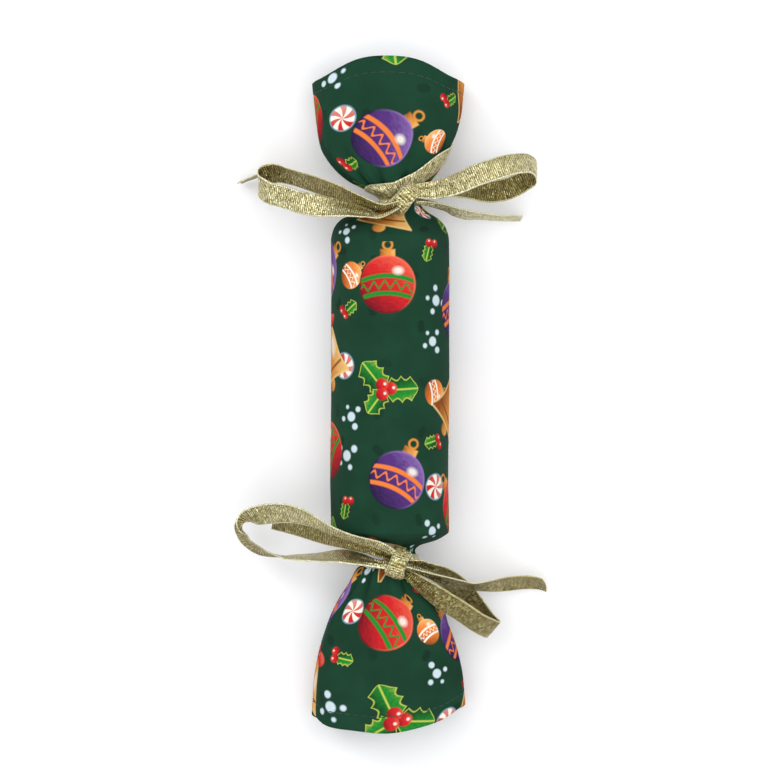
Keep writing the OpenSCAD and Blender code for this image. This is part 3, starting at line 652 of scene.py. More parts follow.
def print_color(x, y):
    """The whole print at a place on the flat cloth, layer on layer."""
    blotch = noise(vector(x, y), 0.05, 2.0)
    color = mix(ramp(blotch, 0.3, 0.75), GROUND_DEEP, GROUND_LIGHT)
    color = faint_leaves(color, x, y)
    px, py, column, row, _ = cell_places(
        x, y, shift=(0, CELL_H * 0.30), seed=3.0, jitter=7.0, turn=FULL_TURN, scale=1.1
    )
    kind = maths("MODULO", column + row, 2)
    color = motif(snow_dots, color, px, py, is_kind(kind, 0))
    color = motif(twig, color, px, py, is_kind(kind, 1))
    px, py, column, row, _ = cell_places(
        x, y, shift=(0, CELL_H * 0.80), seed=2.0, jitter=6.0, turn=3.0, scale=1.25
    )
    kind = maths("MODULO", column + row * 2 + 3, 3)
    color = motif(sweet, color, px, py, is_kind(kind, 0))
    color = motif(snow_dots, color, px, py, is_kind(kind, 1))
    small = is_kind(kind, 2)
    color = motif(bauble, color, px * 2, py * 2, small, GOLD_DEEP, ORANGE, GOLD_PALE, CREAM)
    return large_motifs(color, x, y)


WEAVE_PITCH = 0.55


def weave(x, y):
    """Height of a plain weave on the flat cloth."""
    turn = math.tau / WEAVE_PITCH
    return sine(x * turn) * sine(y * turn)


def printed_cloth():
    look = Look("printed_cloth")
    x, y = look.flat_place()
    color = print_color(x, y)
    grain = noise(vector(x, y), 0.9, 4.0)
    color = mix(ramp(grain, 0.2, 0.9) * 0.12, color, GROUND_FAINT)
    normal = bump(weave(x, y) * 0.5 + grain * 0.2, 0.00004, 0.4)
    return look.finish(color, 0.85, normal, Specular_IOR_Level=0.15)


def cloth_reverse():
    look = Look("cloth_reverse")
    x, y = look.flat_place()
    grain = noise(vector(x, y), 0.5, 4.0)
    color = mix(grain, srgb(24, 62, 45), srgb(44, 92, 68))
    normal = bump(weave(x, y) * 0.5 + grain, 0.00008, 0.6)
    return look.finish(color, 0.9, normal, Specular_IOR_Level=0.25)


RIB_PITCH = 0.95
CORD_W = 0.75


def ribbon_metal(name, shadow, middle, shine, metal):
    """Metallic ribbon: ribs across it, corded edges along it, threads that glint, and painted light and shade
    in its colour.
    """
    look = Look(name)
    x, y = look.flat_place()
    drift = noise(vector(x, y), 0.35, 2.0)
    ribs = sine(y * (math.tau / RIB_PITCH) + drift * 5)
    threads = {"Vector": vector(x * 1.35, y * 2.1), "Scale": 1.0}
    fleck = result("TexVoronoi", threads, "Color")
    glint = split(fleck)[0]
    # The colour runs from painted shadow to painted shine with the ribs, the threads and broad patches:
    # painted shade and painted reflections.
    tone = ribs * 0.22 + glint * 0.55 + drift * 0.45
    color = mix(ramp(tone, 0.1, 0.6), shadow, middle)
    color = mix(ramp(tone, 0.6, 1.0), color, shine)
    edge = size_of(x)
    # Painted shade in the groove inside each corded edge.
    groove_shade = size_of(edge - (RIBBON_W / 2 - 0.8)) - 0.12
    color = laid(color, groove_shade, 0.55, shadow, 0.2)
    # Painted highlight along the corded edges.
    cord_highlight = ramp(edge, RIBBON_W / 2 - CORD_W, RIBBON_W / 2 - 0.5)
    color = mix(cord_highlight * 0.6, color, shine)
    normal = tilted(bump(ribs * 0.7 + glint * 0.5, 0.00014, 0.8), fleck, 0.6)
    roughness = between(glint, 0.4, 0.26)
    return look.finish(color, roughness, normal, Metallic=metal, Specular_IOR_Level=0.5)


def thread():
    look = Look("thread")
    color = mix(noise(look.solid_place(), 900.0), srgb(16, 44, 30), srgb(28, 68, 47))
    return look.finish(color, 0.7, Sheen_Weight=0.2)


def fibrous(look, scale, dark, pale):
    """The place in the solid, and fine fibres there with their colour."""
    place = look.solid_place()
    fibre = noise(place, scale, 4.0)
    return place, fibre, mix(fibre, dark, pale)


# How far the wound card goes along the tube in one turn, in metres
WIND_PITCH = 0.042


def wound_card():
    """Grey-brown card wound in a spiral, with its fibres and the lines where the turns meet."""
    look = Look("wound_card")
    place, fibre, color = fibrous(look, 2200.0, srgb(150, 120, 84), srgb(196, 168, 128))
    x, y, z = split(place)
    angle = maths("ARCTAN2", z - AXIS_Z * MM, x)
    turn = maths("FRACT", y * (1 / WIND_PITCH) + angle * (1 / math.tau) + 10)
    line = inside(size_of(turn - 0.5) - 0.006, 0.006)
    cloud = noise(place, 90.0, 3.0)
    color = mix(ramp(cloud, 0.3, 0.8) * 0.3, color, srgb(172, 140, 100))
    color = mix(line, color, srgb(104, 80, 54))
    normal = bump(fibre * 0.4 - line, 0.00012, 0.7)
    return look.finish(color, 0.92, normal, Specular_IOR_Level=0.2)


def snap_card():
    look = Look("snap_card")
    place, fibre, color = fibrous(look, 1800.0, srgb(214, 204, 176), srgb(240, 234, 214))
    cloud = noise(place, 60.0, 2.0)
    color = mix(ramp(cloud, 0.4, 0.8) * 0.25, color, srgb(204, 186, 146))
    return look.finish(color, 0.88, bump(fibre, 0.00006, 0.6), Specular_IOR_Level=0.25)


def snap_wrap():
    look = Look("snap_wrap")
    place, fibre, color = fibrous(look, 1500.0, srgb(112, 66, 38), srgb(158, 104, 64))
    _, y, _ = split(place)
    fold = inside(size_of(sine(y * 420)) - 0.06, 0.06)
    # Painted shade darkens the folds, which the bump also sinks.
    color = mix(fold * 0.4, color, srgb(84, 48, 28))
    return look.finish(color, 0.85, bump(fibre - fold, 0.00008, 0.7))


def motto_paper():
    look = Look("motto_paper")
    place, fibre, color = fibrous(look, 2200.0, srgb(226, 222, 208), srgb(248, 246, 238))
    color = mix(noise(place, 120.0, 2.0) * 0.2, color, srgb(226, 214, 186))
    return look.finish(color, 0.8, bump(fibre, 0.00005, 0.5))


def crown_tissue():
    look = Look("crown_tissue")
    place = look.solid_place()
    crinkle = noise(place, 300.0, 5.0, 0.6)
    fibre = noise(place, 2500.0, 3.0)
    color = mix(crinkle, srgb(168, 24, 26), srgb(226, 60, 48))
    return look.finish(color, 0.75, bump(crinkle + fibre * 0.15, 0.0004, 0.8), Sheen_Weight=0.1)


def turned_wood(name, pale, deep, gloss):
    """Turned wood: grain along the spindle, and fine rings that the chisel left round it."""
    look = Look(name)
    x, y, z = split(look.solid_place())
    grain = noise(vector(x, y * 0.08, z), 1400.0, 5.0, 0.6)
    rings = sine(y * 9000)
    color = mix(ramp(grain, 0.3, 0.7), deep, pale)
    normal = bump(grain * 0.5 + rings * 0.15, 0.00008, 0.5)
    return look.finish(color, gloss, normal, Coat_Weight=0.4, Coat_Roughness=0.15)


PRINTED, REVERSE = printed_cloth(), cloth_reverse()
METAL = ribbon_metal("ribbon_metal", srgb(109, 93, 43), srgb(209, 199, 143), srgb(253, 251, 218), 0.85)
# A darker copy of the ribbon metal: painted shade for ribbon faces that turn away from the light.
METAL_SHADED = ribbon_metal("ribbon_painted_shade", srgb(81, 70, 31), srgb(149, 135, 80), srgb(225, 215, 157), 0.8)


# The sleeve


def part_table(side, start, length, small, large, shares, edge=(0.0, 0.0)):
    """Rows of one shoulder or flare, whose half width and height go from small to large.
    edge is how far its far edge draws back at its sides, and how much askew."""
    rows = []
    for way, wide, tall, shift, drop in shares:
        half_w = small[0] + (large[0] - small[0]) * wide
        half_h = small[1] + (large[1] - small[1]) * tall
        y, z = start + side * length * way, AXIS_Z + (MOUTH_Z - AXIS_Z) * drop
        sag, skew = (-side * amount * way * way for amount in edge)
        rows.append((y, NECK_SHIFT * shift, z, half_w, half_h, sag, skew))
    return rows


def sleeve_table():
    """Rows from the near mouth to the far one: y, centre x and z, half width and height, sag, skew."""
    flat, neck = (0.0, 0.0), (NECK_HALF_W, NECK_HALF_H)
    barrel, mouth = (BARREL_R, BARREL_R), (MOUTH_HALF_W, MOUTH_HALF_H)
    near = part_table(-1, -BARREL_END, NEAR_SHOULDER_L, neck, barrel, NEAR_SHOULDER_SHARES)
    near_edge = (NEAR_EDGE_SAG, NEAR_EDGE_SKEW)
    near += part_table(-1, NEAR_NECK_Y, NEAR_FLARE_L, flat, mouth, NEAR_FLARE_SHARES, near_edge)
    far = part_table(1, BARREL_END, FAR_SHOULDER_L, neck, barrel, FAR_SHOULDER_SHARES)
    far += part_table(1, FAR_NECK_Y, FAR_FLARE_L, flat, mouth, FAR_FLARE_SHARES, (FAR_EDGE_SAG, 0.0))
    middle = [(y, 0.0, AXIS_Z, BARREL_R, BARREL_R, 0.0, 0.0) for y in (1 - BARREL_END, 0, BARREL_END - 1)]
    return np.array(near[::-1] + middle + far)


SLEEVE_TABLE = sleeve_table()
NEAR_MOUTH_Y, FAR_MOUTH_Y = SLEEVE_TABLE[0, 0], SLEEVE_TABLE[-1, 0]


def sleeve_rows(y):
    return monotone(SLEEVE_TABLE[:, 0], SLEEVE_TABLE, y)


# Gathers round each neck, fine ones and broad ones
FINE_FOLDS, BROAD_FOLDS = 22, 11
FINE_FOLD_H, BROAD_FOLD_H = 1.5, 2.4
FAR_FOLDS_L, NEAR_FOLDS_L = 20.0, 15.0


def ridges(phase, sharp=0.02):
    """Rounded ridges with narrow grooves between them."""
    return np.sqrt(np.sin(phase / 2) ** 2 + sharp) - 0.66


def neck_folds(angle, t, seed, shoulder_l):
    """How far the cloth stands out at the distance t beyond a neck, or before it where t is below 0."""
    beyond, before = np.maximum(t, 0), np.maximum(-t, 0)
    drift = angle + 0.16 * np.sin(2 * angle + seed) + 0.09 * np.sin(3 * angle + 2 * seed)
    tight = ridges(FINE_FOLDS * drift + 0.6 * np.sin(t / 5 + seed))
    broad = ridges(BROAD_FOLDS * drift + seed + 0.01 * beyond, 0.05)
    wide = np.sin(5 * drift + seed * 3 + 0.02 * beyond)
    flare = (
        FINE_FOLD_H * tight * bump_at(beyond, 0, 9)
        + broad * (BROAD_FOLD_H * bump_at(beyond, 12, 13) + 0.7 * np.exp(-beyond / 40))
        + wide * 0.75 * np.clip(beyond / 45, 0, 1)
    )
    fade = np.clip(1 - before / shoulder_l, 0, 1) ** 1.5
    shoulder = FINE_FOLD_H * tight * bump_at(before, 0, 5) + 1.5 * broad * fade * (1 - np.exp(-before / 3))
    return np.where(t >= 0, flare, np.where(before < 40, shoulder + 0.35 * tight * fade, 0))


def folds(angle, y):
    """How far the gathered cloth stands out or in, in millimetres, round and along the sleeve."""
    out = neck_folds(angle, y - FAR_NECK_Y, 0.4, FAR_FOLDS_L)
    out = out + neck_folds(angle, NEAR_NECK_Y - y, 2.1, NEAR_FOLDS_L)
    barrel = 0.22 * np.sin(3 * angle + y / 23) + 0.14 * np.sin(5 * angle - y / 11 + 1)
    return out + barrel * np.clip((BARREL_END - np.abs(y)) / 20, 0, 1)


def pressed(z, floor_z, softness=0.6):
    """Heights that flatten out on the table, at floor_z, over a soft turn."""
    z = z - floor_z
    return floor_z + (z + np.sqrt(z * z + softness * softness)) / 2


HEM = 7.0


def sleeve_points(y, angle):
    """Points of the sleeve's outer face for rows at y and columns at angle."""
    a = angle[None, :]
    cx, cz, hw, hh, sag, skew = (sleeve_rows(y)[:, k : k + 1] for k in range(1, 7))
    beyond = np.maximum(y - FAR_NECK_Y, NEAR_NECK_Y - y)[:, None]
    underside = bump_at((a + math.pi) % math.tau, math.pi / 2, 0.8)
    lies = underside * np.clip(beyond / 40, 0, 1)
    stand = folds(a, y[:, None]) * (1 - 0.85 * lies)
    # The hem is a little thicker, its stitch line is drawn in, and a seam runs along underneath
    from_edge = np.minimum(np.maximum(y - NEAR_MOUTH_Y, 0), np.maximum(FAR_MOUTH_Y - y, 0))[:, None]
    stand = stand - 0.22 * bump_at(from_edge, HEM, 0.7) + 0.12 * (from_edge < HEM)
    stand = stand - 0.35 * bump_at(np.abs(a + math.pi / 2), 0.0, 0.03)
    x = cx + (hw + stand) * np.cos(a)
    z = cz + (hh + stand) * np.sin(a)
    ripple = 0.5 * np.sin(4 * a + 1.3) + 0.35 * np.sin(7 * a)
    along = y[:, None] + sag * np.cos(a) ** 2 + skew * np.cos(a) + ripple * np.abs(sag) / 10
    return np.stack([x, np.broadcast_to(along, x.shape), z], -1)


PASSAGE_HALF_W, PASSAGE_HALF_H = 4.1, 2.0


def passage(y, angle):
    """Points of the small puckered passage round the snap's strips, for rows at y and columns at angle."""
    pucker = 1 + 0.05 * np.sin(13 * angle + 1)
    x = NECK_SHIFT + PASSAGE_HALF_W * pucker * np.cos(angle)
    z = AXIS_Z + PASSAGE_HALF_H * pucker * np.sin(angle)
    return np.stack(np.broadcast_arrays(x[None, :], y[:, None], z[None, :]), -1)


def clear_of_tube(inner, y):
    """The sleeve's inner face, kept outside the card tube that it lies on."""
    from_axis = np.hypot(inner[..., 0], inner[..., 2] - AXIS_Z)
    least = np.where(np.abs(y) < TUBE_END + 0.5, TUBE_R + 0.08, 0)[:, None]
    push = np.maximum(least / np.maximum(from_axis, 1e-6), 1)
    inner[..., 0] = inner[..., 0] * push
    inner[..., 2] = AXIS_Z + (inner[..., 2] - AXIS_Z) * push
    return inner


def sleeve_stations():
    """Places along the sleeve for its rows, closest where it is gathered."""
    stops = [NEAR_MOUTH_Y, NEAR_NECK_Y - 12, 6 - BARREL_END, BARREL_END - 6, FAR_NECK_Y + 12, FAR_MOUTH_Y]
    steps = [1.0, 0.55, 1.5, 0.55, 1.0]
    parts = [spaced(start, stop, step) for start, stop, step in zip(stops, stops[1:], steps)]
    return np.unique(np.round(np.concatenate(parts), 4))


SLEEVE_COLUMNS = 300
# How much thicker the gathered cloth is in a neck, over which length, and how far a mouth's lip stands out
NECK_THICKER, NECK_L = 1.6, 4.0
LIP = 0.45


def sleeve_faces(y):
    """The outer and the inner face of the sleeve."""
    angle = turn_steps(SLEEVE_COLUMNS) - math.pi / 2
    outer = sleeve_points(y, angle)
    around = np.roll(outer, -1, 1) - np.roll(outer, 1, 1)
    outward = unit(np.cross(np.gradient(outer, axis=0), around))
    to_neck = np.minimum(np.abs(y - FAR_NECK_Y), np.abs(y - NEAR_NECK_Y))
    # At each neck the gathers close on the strip and leave it a small passage
    drawn = bump_at(to_neck, 0, NECK_L)[:, None, None]
    inner = outer - outward * (CLOTH_T + NECK_THICKER * drawn)
    inner = inner * (1 - drawn) + passage(y, angle) * drawn
    inner = clear_of_tube(inner, y)
    outer[..., 2] = pressed(outer[..., 2], 0.0)
    on_flare = (to_neck > 20) & (np.abs(y) > FAR_NECK_Y)
    inner[on_flare, :, 2] = pressed(inner[on_flare, :, 2], CLOTH_T)
    return outer, inner


def sleeve():
    """The sleeve and its length along its own surface."""
    y = sleeve_stations()
    outer, inner = sleeve_faces(y)
    v = running(np.linalg.norm(np.diff(outer, axis=0), axis=-1).mean(1))
    v = v - np.interp(0, y, v)
    uv = flat_uv(np.arange(SLEEVE_COLUMNS + 1) / SLEEVE_COLUMNS * CLOTH_GIRTH, v[:, None])
    # A rounded edge joins the two faces at each mouth
    far_lip = (outer[-1] + inner[-1]) / 2 + [0, LIP, 0]
    near_lip = (outer[0] + inner[0]) / 2 - [0, LIP, 0]
    points = np.concatenate([outer, far_lip[None], inner[::-1], near_lip[None]])
    points[..., 2] = np.maximum(points[..., 2], 0.0)
    uv = np.concatenate([uv, uv[-1:], uv[::-1], uv[:1], uv[:1]])
    obj = grid_object("sleeve_cloth", points[:, ::-1], uv[:, ::-1], [PRINTED, REVERSE], ring=True)
    face_rows = np.arange(len(points)).repeat(SLEEVE_COLUMNS)
    is_inner = (face_rows > len(outer)) & (face_rows < 2 * len(outer))
    obj.data.polygons.foreach_set("material_index", is_inner.astype(np.int32))
    return obj, v[-1] - v[0]


THREAD_R, THREAD_SIDES = 0.2, 6
THREAD_LEAST_Z = 0.02
STITCH_HALF_L, STITCH_HALF_W = 1.25, 0.5
STITCHES = 50


def stitch(y_line, angle):
    """Rings of points round one stitch, whose ends sink into the cloth."""
    span = STITCH_HALF_L / CLOTH_GIRTH * math.tau
    y = y_line + np.array([-STITCH_HALF_W, 0, STITCH_HALF_W])
    face = sleeve_points(y, angle + np.linspace(-span, span, 5))
    up = unit(np.cross(np.gradient(face, axis=0), np.gradient(face, axis=1)))[1]
    line = face[1] + up * (0.16 - 0.3 * np.linspace(-1, 1, 5)[:, None] ** 4)
    across = unit(np.cross(up, unit(np.gradient(line, axis=0))))
    ring = turn_steps(THREAD_SIDES)[None, :, None]
    return line[:, None] + THREAD_R * (np.cos(ring) * across[:, None] + np.sin(ring) * up[:, None])


def stitches():
    """Hem stitches: short closed threads round each mouth."""
    middles = turn_steps(STITCHES) + math.pi / STITCHES - math.pi / 2
    threads = [stitch(y, angle) for y in (NEAR_MOUTH_Y + HEM, FAR_MOUTH_Y - HEM) for angle in middles]
    faces = []
    for base in range(0, len(threads) * 5 * THREAD_SIDES, 5 * THREAD_SIDES):
        rings = [[base + k * THREAD_SIDES + j for j in range(THREAD_SIDES)] for k in range(5)]
        for a, b in zip(rings, rings[1:]):
            faces += [[a[j - 1], a[j], b[j], b[j - 1]] for j in range(THREAD_SIDES)]
        faces += [rings[0][::-1], rings[-1]]
    points = np.concatenate([rings.reshape(-1, 3) for rings in threads])
    points[:, 2] = np.maximum(points[:, 2], THREAD_LEAST_Z)
    return linked("hem_stitches", smooth_mesh("hem_stitches", points, faces, [thread()]))


# Ribbons


def band_profile(columns=21):
    """Across a ribbon: the place across, and the height of its face, with corded edges."""
    across = np.linspace(-1, 1, columns) * RIBBON_W / 2
    edge = np.abs(across)
    cords = 0.2 * bump_at(edge, RIBBON_W / 2 - 0.35, 0.3) + 0.12 * bump_at(edge, RIBBON_W / 2 - 1.25, 0.3)
    return across, RIBBON_T / 2 + cords - 0.12 * (edge > RIBBON_W / 2 - 0.05)


# How far its pleats, its hollow and its waves lift a ribbon
PLEAT_LIFT, HOLLOW_LIFT, WAVE_LIFT = 1.5, 0.35, 0.22


def closed_band(name, middle, across, face, widths, along, dark, cut=0.0):
    """A ribbon with both faces, from its middle line and its directions across and out of it.
    dark is 1 where the face along face takes the painted shade, -1 where the other does and 0 where both do."""
    place, height = band_profile()
    # Where the ribbon is drawn together it pleats lengthwise instead of stretching
    pleat = PLEAT_LIFT * (1 - widths)[:, None] * np.cos(place / RIBBON_W * 4 * math.pi)
    hollow = -HOLLOW_LIFT * (place / (RIBBON_W / 2)) ** 2 * (1 if dark < 1 else -1)
    wave = WAVE_LIFT * np.sin(along / 5.0)[:, None] * np.sin(place / 3.0)
    lift = pleat + hollow + wave
    spread = widths[:, None] * place
    centre = middle[:, None] + spread[..., None] * across[:, None] + lift[..., None] * face[:, None]
    if cut:
        run = unit(np.gradient(middle, axis=0))
        near_end = np.clip((along - (along[-1] - RIBBON_W)) / RIBBON_W, 0, 1) ** 2
        centre = centre + (near_end[:, None] * place * cut)[..., None] * run[:, None]
    thick = height[None, :, None] * face[:, None]
    points = two_faced(centre + thick, centre - thick)
    points[..., 2] = np.maximum(points[..., 2], RIBBON_LEAST_Z)
    uv = flat_uv(there_and_back(place), along[:, None])
    obj = grid_object(name, points, uv, [METAL, METAL_SHADED], flipped=True)
    two_sides(obj, points.shape, dark)
    return obj, along[-1] - along[0]


def two_sides(obj, shape, dark):
    """Gives the side of a band painted in shade, or both sides, the second material: the darker copy of the
    metal, as painted shade.
    """
    rows, columns = shape[:2]
    face = np.arange(len(obj.data.polygons))
    column, half = face % columns, columns // 2
    is_top = column < half - 1
    is_under = (column >= half) & (column < columns - 1)
    chosen = (is_top & (dark >= 0)) | (is_under & (dark <= 0))
    chosen = chosen & (face < (rows - 1) * columns)
    obj.data.polygons.foreach_set("material_index", chosen.astype(np.int32))


def strand(name, knot_at, rows, dark, cut=0.0, step=0.45):
    """A loop or tail of ribbon along its rows."""
    rows = np.array(rows, float)

    def placed(row):
        return knot_at * [1, 1, 0] + row[:, :3] * [BOW_REACH, BOW_REACH, knot_at[2]]

    fine = np.linspace(0, len(rows) - 1, 40 * len(rows))
    length = running(np.linalg.norm(np.diff(placed(through(rows, fine)), axis=0), axis=1))
    along = spaced(0, length[-1], step)
    row = through(rows, np.interp(along, length, fine))
    middle = placed(row)
    run = unit(np.gradient(middle, axis=0))
    lean = row[:, 3:6]
    across = unit(lean - run * (lean * run).sum(1, keepdims=True))
    face = np.cross(run, across)
    return closed_band(name, middle, across, face, np.minimum(row[:, 6], 1), along, dark, cut)


KNOT_ROWS, KNOT_COLUMNS = 120, 33
# How far a knot's cords stand out, and how much its edges draw in
KNOT_CORD, KNOT_PINCH = 0.35, 0.30


def knot(name, knot_at, turn, tongue):
    """A knot: the band drawn tight over the strands, pinched and creased along its run.
    tongue is how much further it reaches on the one side, as a share of its half length."""
    t = turn_steps(KNOT_ROWS)
    cos_t, sin_t = np.cos(t), np.sin(t)
    on_tongue = tongue * (cos_t < 0)
    place = np.linspace(-1, 1, KNOT_COLUMNS)
    edge = np.abs(place)
    swell = 1 - KNOT_PINCH * edge**4
    crease = 0.3 * np.cos(place * 2.5 * math.pi + 0.6) + 0.2 * np.cos(place * 5.5 * math.pi)
    out = (crease + KNOT_CORD * bump_at(edge, 0.93, 0.05)) * (0.45 + 0.55 * np.abs(sin_t))[:, None]
    reach = KNOT_L / 2 * (1 + on_tongue * np.abs(cos_t))
    length = (reach * np.sign(cos_t) * np.abs(cos_t) ** 0.8)[:, None] * swell
    skew = 0.9 * np.sin(2 * t)[:, None] * place**2
    height = (KNOT_T / 2 * sin_t)[:, None] * swell
    narrow = 0.78 + 0.17 * cos_t**2 - 0.1 * on_tongue * cos_t**4
    points = (
        knot_at
        + (length + skew + out * cos_t[:, None])[..., None] * [math.cos(turn), math.sin(turn), 0]
        + (KNOT_W / 2 * place * narrow[:, None])[..., None] * [-math.sin(turn), math.cos(turn), 0]
        + (height + out * sin_t[:, None])[..., None] * [0, 0, 1]
    )
    round_it = np.roll(points, -1, 0) - np.roll(points, 1, 0)
    inward = unit(np.cross(round_it, np.gradient(points, axis=1)))
    points = two_faced(points, points + inward * RIBBON_T)
    flat_y = np.append(t / math.tau * KNOT_GIRTH, KNOT_GIRTH)
    uv = flat_uv(there_and_back(place) * RIBBON_W / 2, flat_y[:, None])
    return grid_object(name, points, uv, [METAL], ring=True)


# A neck band's rows: angle from the right over the top, then in millimetres how far beyond the
# neck its middle lies, its spread along the sleeve and how far it stands off the cloth
FAR_BAND = [
    (0, 22, 10, 0), (30, 15, 13, 0), (60, 5.2, 12.5, 0.3), (90, 2.0, 10.5, 1.0), (120, 2.0, 9, 3.0),
    (150, 0.8, 8, 3.4), (180, 0, 6.5, 2.0), (220, 0, 6, 0), (270, 1.5, 7, 0), (315, 12, 11, 0),
    (360, 22, 10, 0),
]
NEAR_BAND = [
    (0, 0.6, 4.5, 0), (60, 0.6, 6, 0.2), (90, 0.4, 8, 0.8), (130, 0.4, 7, 0.4), (180, 0.2, 4, 0),
    (270, 0.2, 4, 0), (360, 0.6, 4.5, 0),
]
BAND_ROWS = 220
BAND_OFF_CLOTH = 1.2
BAND_LEAST_Z = 0.4


def off_sleeve(y, a, off):
    """Points that stand off the sleeve's smooth form, at the places y and the angles a."""
    rows = sleeve_rows(y.ravel()).reshape(*y.shape, -1)
    x = rows[..., 1] + (rows[..., 3] + off) * np.cos(a)
    z = rows[..., 2] + (rows[..., 4] + off) * np.sin(a)
    return np.stack([x, y + rows[..., 5] * np.cos(a) ** 2, z], -1)


def neck_band(name, neck_y, side, table):
    """The ribbon's turn round a gathered neck."""
    angle = turn_steps(BAND_ROWS)
    table = np.array(table, float)
    middle, spread, bulge = monotone(table[:, 0], table[:, 1:], np.degrees(angle)).T[..., None]
    place, height = band_profile()
    share = place / RIBBON_W
    y = neck_y + side * (middle + spread * share)
    crease = 0.3 * np.cos(place * 1.6) * np.clip(1 - spread / RIBBON_W, 0, 1)
    lift = BAND_OFF_CLOTH + bulge * (1 - 0.75 * (2 * share) ** 2) + crease
    top = off_sleeve(y, angle[:, None], lift + height)
    points = two_faced(top, off_sleeve(y, angle[:, None], lift - height))
    if side > 0:
        points = points[:, ::-1]
    points[..., 2] = np.maximum(points[..., 2], BAND_LEAST_Z)
    length = np.linalg.norm(np.diff(top[:, len(place) // 2], axis=0), axis=1).sum()
    uv = flat_uv(there_and_back(place), np.linspace(0, length, BAND_ROWS + 1)[:, None])
    return grid_object(name, points, uv, [METAL], ring=True, flipped=True), length


# Each strand: its node, knot, rows, the side painted in shade and how far its cut end leans
STRANDS = [
    ("far_left_loop", FAR_KNOT, FAR_LEFT_LOOP, -1, 0.0),
    ("far_right_loop", FAR_KNOT, FAR_RIGHT_LOOP, -1, 0.0),
    ("far_left_tail", FAR_KNOT, FAR_LEFT_TAIL, -1, 0.1),
    ("far_right_tail", FAR_KNOT, FAR_RIGHT_TAIL, -1, -0.3),
    ("near_left_loop", NEAR_KNOT, NEAR_LEFT_LOOP, 1, 0.0),
    ("near_right_loop", NEAR_KNOT, NEAR_RIGHT_LOOP, 0, 0.0),
    ("near_left_tail", NEAR_KNOT, NEAR_LEFT_TAIL, -1, -0.4),
    ("near_right_tail", NEAR_KNOT, NEAR_RIGHT_TAIL, 1, -0.5),
]
NECK_BANDS = [
    ("far_neck_band", FAR_NECK_Y, 1, FAR_BAND), ("near_neck_band", NEAR_NECK_Y, -1, NEAR_BAND),
]
# Each knot: its node, its middle, the way that it lies in degrees, and its tongue
KNOTS = [("far_knot", FAR_KNOT, 48, 0.45), ("near_knot", NEAR_KNOT, 70, 0.15)]


def dress(obj, node, body, slot, flat, **held):
    """Puts a sheet in the place of its solid. flat is its size in millimetres, and is not used."""
    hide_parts(node)
    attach(obj, body)


def dress_ribbons():
    made = []
    for node, knot_at, rows, dark, cut in STRANDS:
        obj, length = strand(node + "_ribbon", knot_at, rows, dark, cut)
        made.append((obj, node, length))
    for node, neck_y, side, table in NECK_BANDS:
        obj, length = neck_band(node + "_ribbon", neck_y, side, table)
        made.append((obj, node, length))
    for node, knot_at, turn, tongue in KNOTS:
        made.append((knot(node + "_ribbon", knot_at, math.radians(turn), tongue), node, KNOT_GIRTH))
    for obj, node, length in made:
        dress(obj, node, "cracker", "ribbon", (RIBBON_W, length), held="folded", rests_on=["cloth_sleeve"])


def dress_sleeve():
    obj, length = sleeve()
    threads = stitches()
    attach(threads, "cracker")
    dress(
        obj, "cloth_sleeve", "cracker", "cloth", (CLOTH_GIRTH, length), held="gathered",
        rests_on=["card_tube"], with_pieces=[threads],
    )


# The rolled papers in the tube's bore, in millimetres and degrees
TUBE_BORE_R = 23.85
CONTENT_GAP = 0.3
CROWN_D, CROWN_L, CROWN_POINT_L, CROWN_ANGLE = 13.0, 80.0, 9.0, 225.0
CROWN_POINT_W = 11.0
MOTTO_D, MOTTO_L = 6.0, 50.0
LAP_ANGLE = 15.0


def in_bore(angle, radius):
    """The middle of a roll that lies against the bore at an angle from the right."""
    reach = TUBE_BORE_R - CONTENT_GAP - radius
    angle = math.radians(angle)
    return np.array([reach * math.cos(angle), 0.0, AXIS_Z + reach * math.sin(angle)])


def motto_angle():
    """The angle at which the motto lies both on the crown and against the bore."""
    a = TUBE_BORE_R - CONTENT_GAP - MOTTO_D / 2
    b = TUBE_BORE_R - CONTENT_GAP - CROWN_D / 2
    c = (MOTTO_D + CROWN_D) / 2 + CONTENT_GAP
    return CROWN_ANGLE - math.degrees(math.acos((a * a + b * b - c * c) / (2 * a * b)))


def rolled_paper(name, material, angle, diameter, length, turns, pitch, paper_t, points_l):
    """A sheet rolled up along Y, which lies against the bore at an angle. points_l is the depth of
    the points cut in its near edge."""
    centre = in_bore(angle, diameter / 2)
    wound = np.linspace(0, turns * math.tau, int(turns * 72) + 1)
    r = diameter / 2 - paper_t - 0.12 - pitch * (turns - wound / math.tau)
    u = running((r[1:] + r[:-1]) / 2 * np.diff(wound))
    way = spaced(0, 1, 1.6 / length)[:, None]
    near = -length / 2 + np.abs((u / CROWN_POINT_W) % 2 - 1) * points_l
    y = near + (length / 2 - near) * way
    crinkle = 0.05 * np.sin(u * 1.9 + y / 5) + 0.04 * np.sin(u * 0.7 - y / 2.3)
    turned = wound + math.radians(angle + LAP_ANGLE) - turns * math.tau

    def face(off):
        return centre + np.stack([(r + off) * np.cos(turned), y, (r + off) * np.sin(turned)], -1)

    sheet = two_faced(face(paper_t + crinkle), face(crinkle))
    flat_v = np.concatenate([y, y[:, ::-1], y[:, :1]], 1)
    obj = grid_object(name, sheet, flat_uv(there_and_back(u), flat_v), [material], flipped=True)
    return obj, u[-1]


def dress_roll(node, body, slot, material, angle, diameter, length, **rolled):
    obj, width = rolled_paper(body + "_roll", material, angle, diameter, length, **rolled)
    dress(obj, node, body, slot, (width, length), held="folded", rests_on=["card_tube"])


def dress_papers():
    dress_roll(
        "paper_crown", "crown", "crown_tissue", crown_tissue(), CROWN_ANGLE, CROWN_D, CROWN_L,
        turns=3.0, pitch=1.05, paper_t=0.3, points_l=CROWN_POINT_L,
    )
    dress_roll(
        "motto_slip", "motto", "motto_paper", motto_paper(), motto_angle(), MOTTO_D, MOTTO_L,
        turns=2.5, pitch=0.6, paper_t=0.2, points_l=0.0,
    )


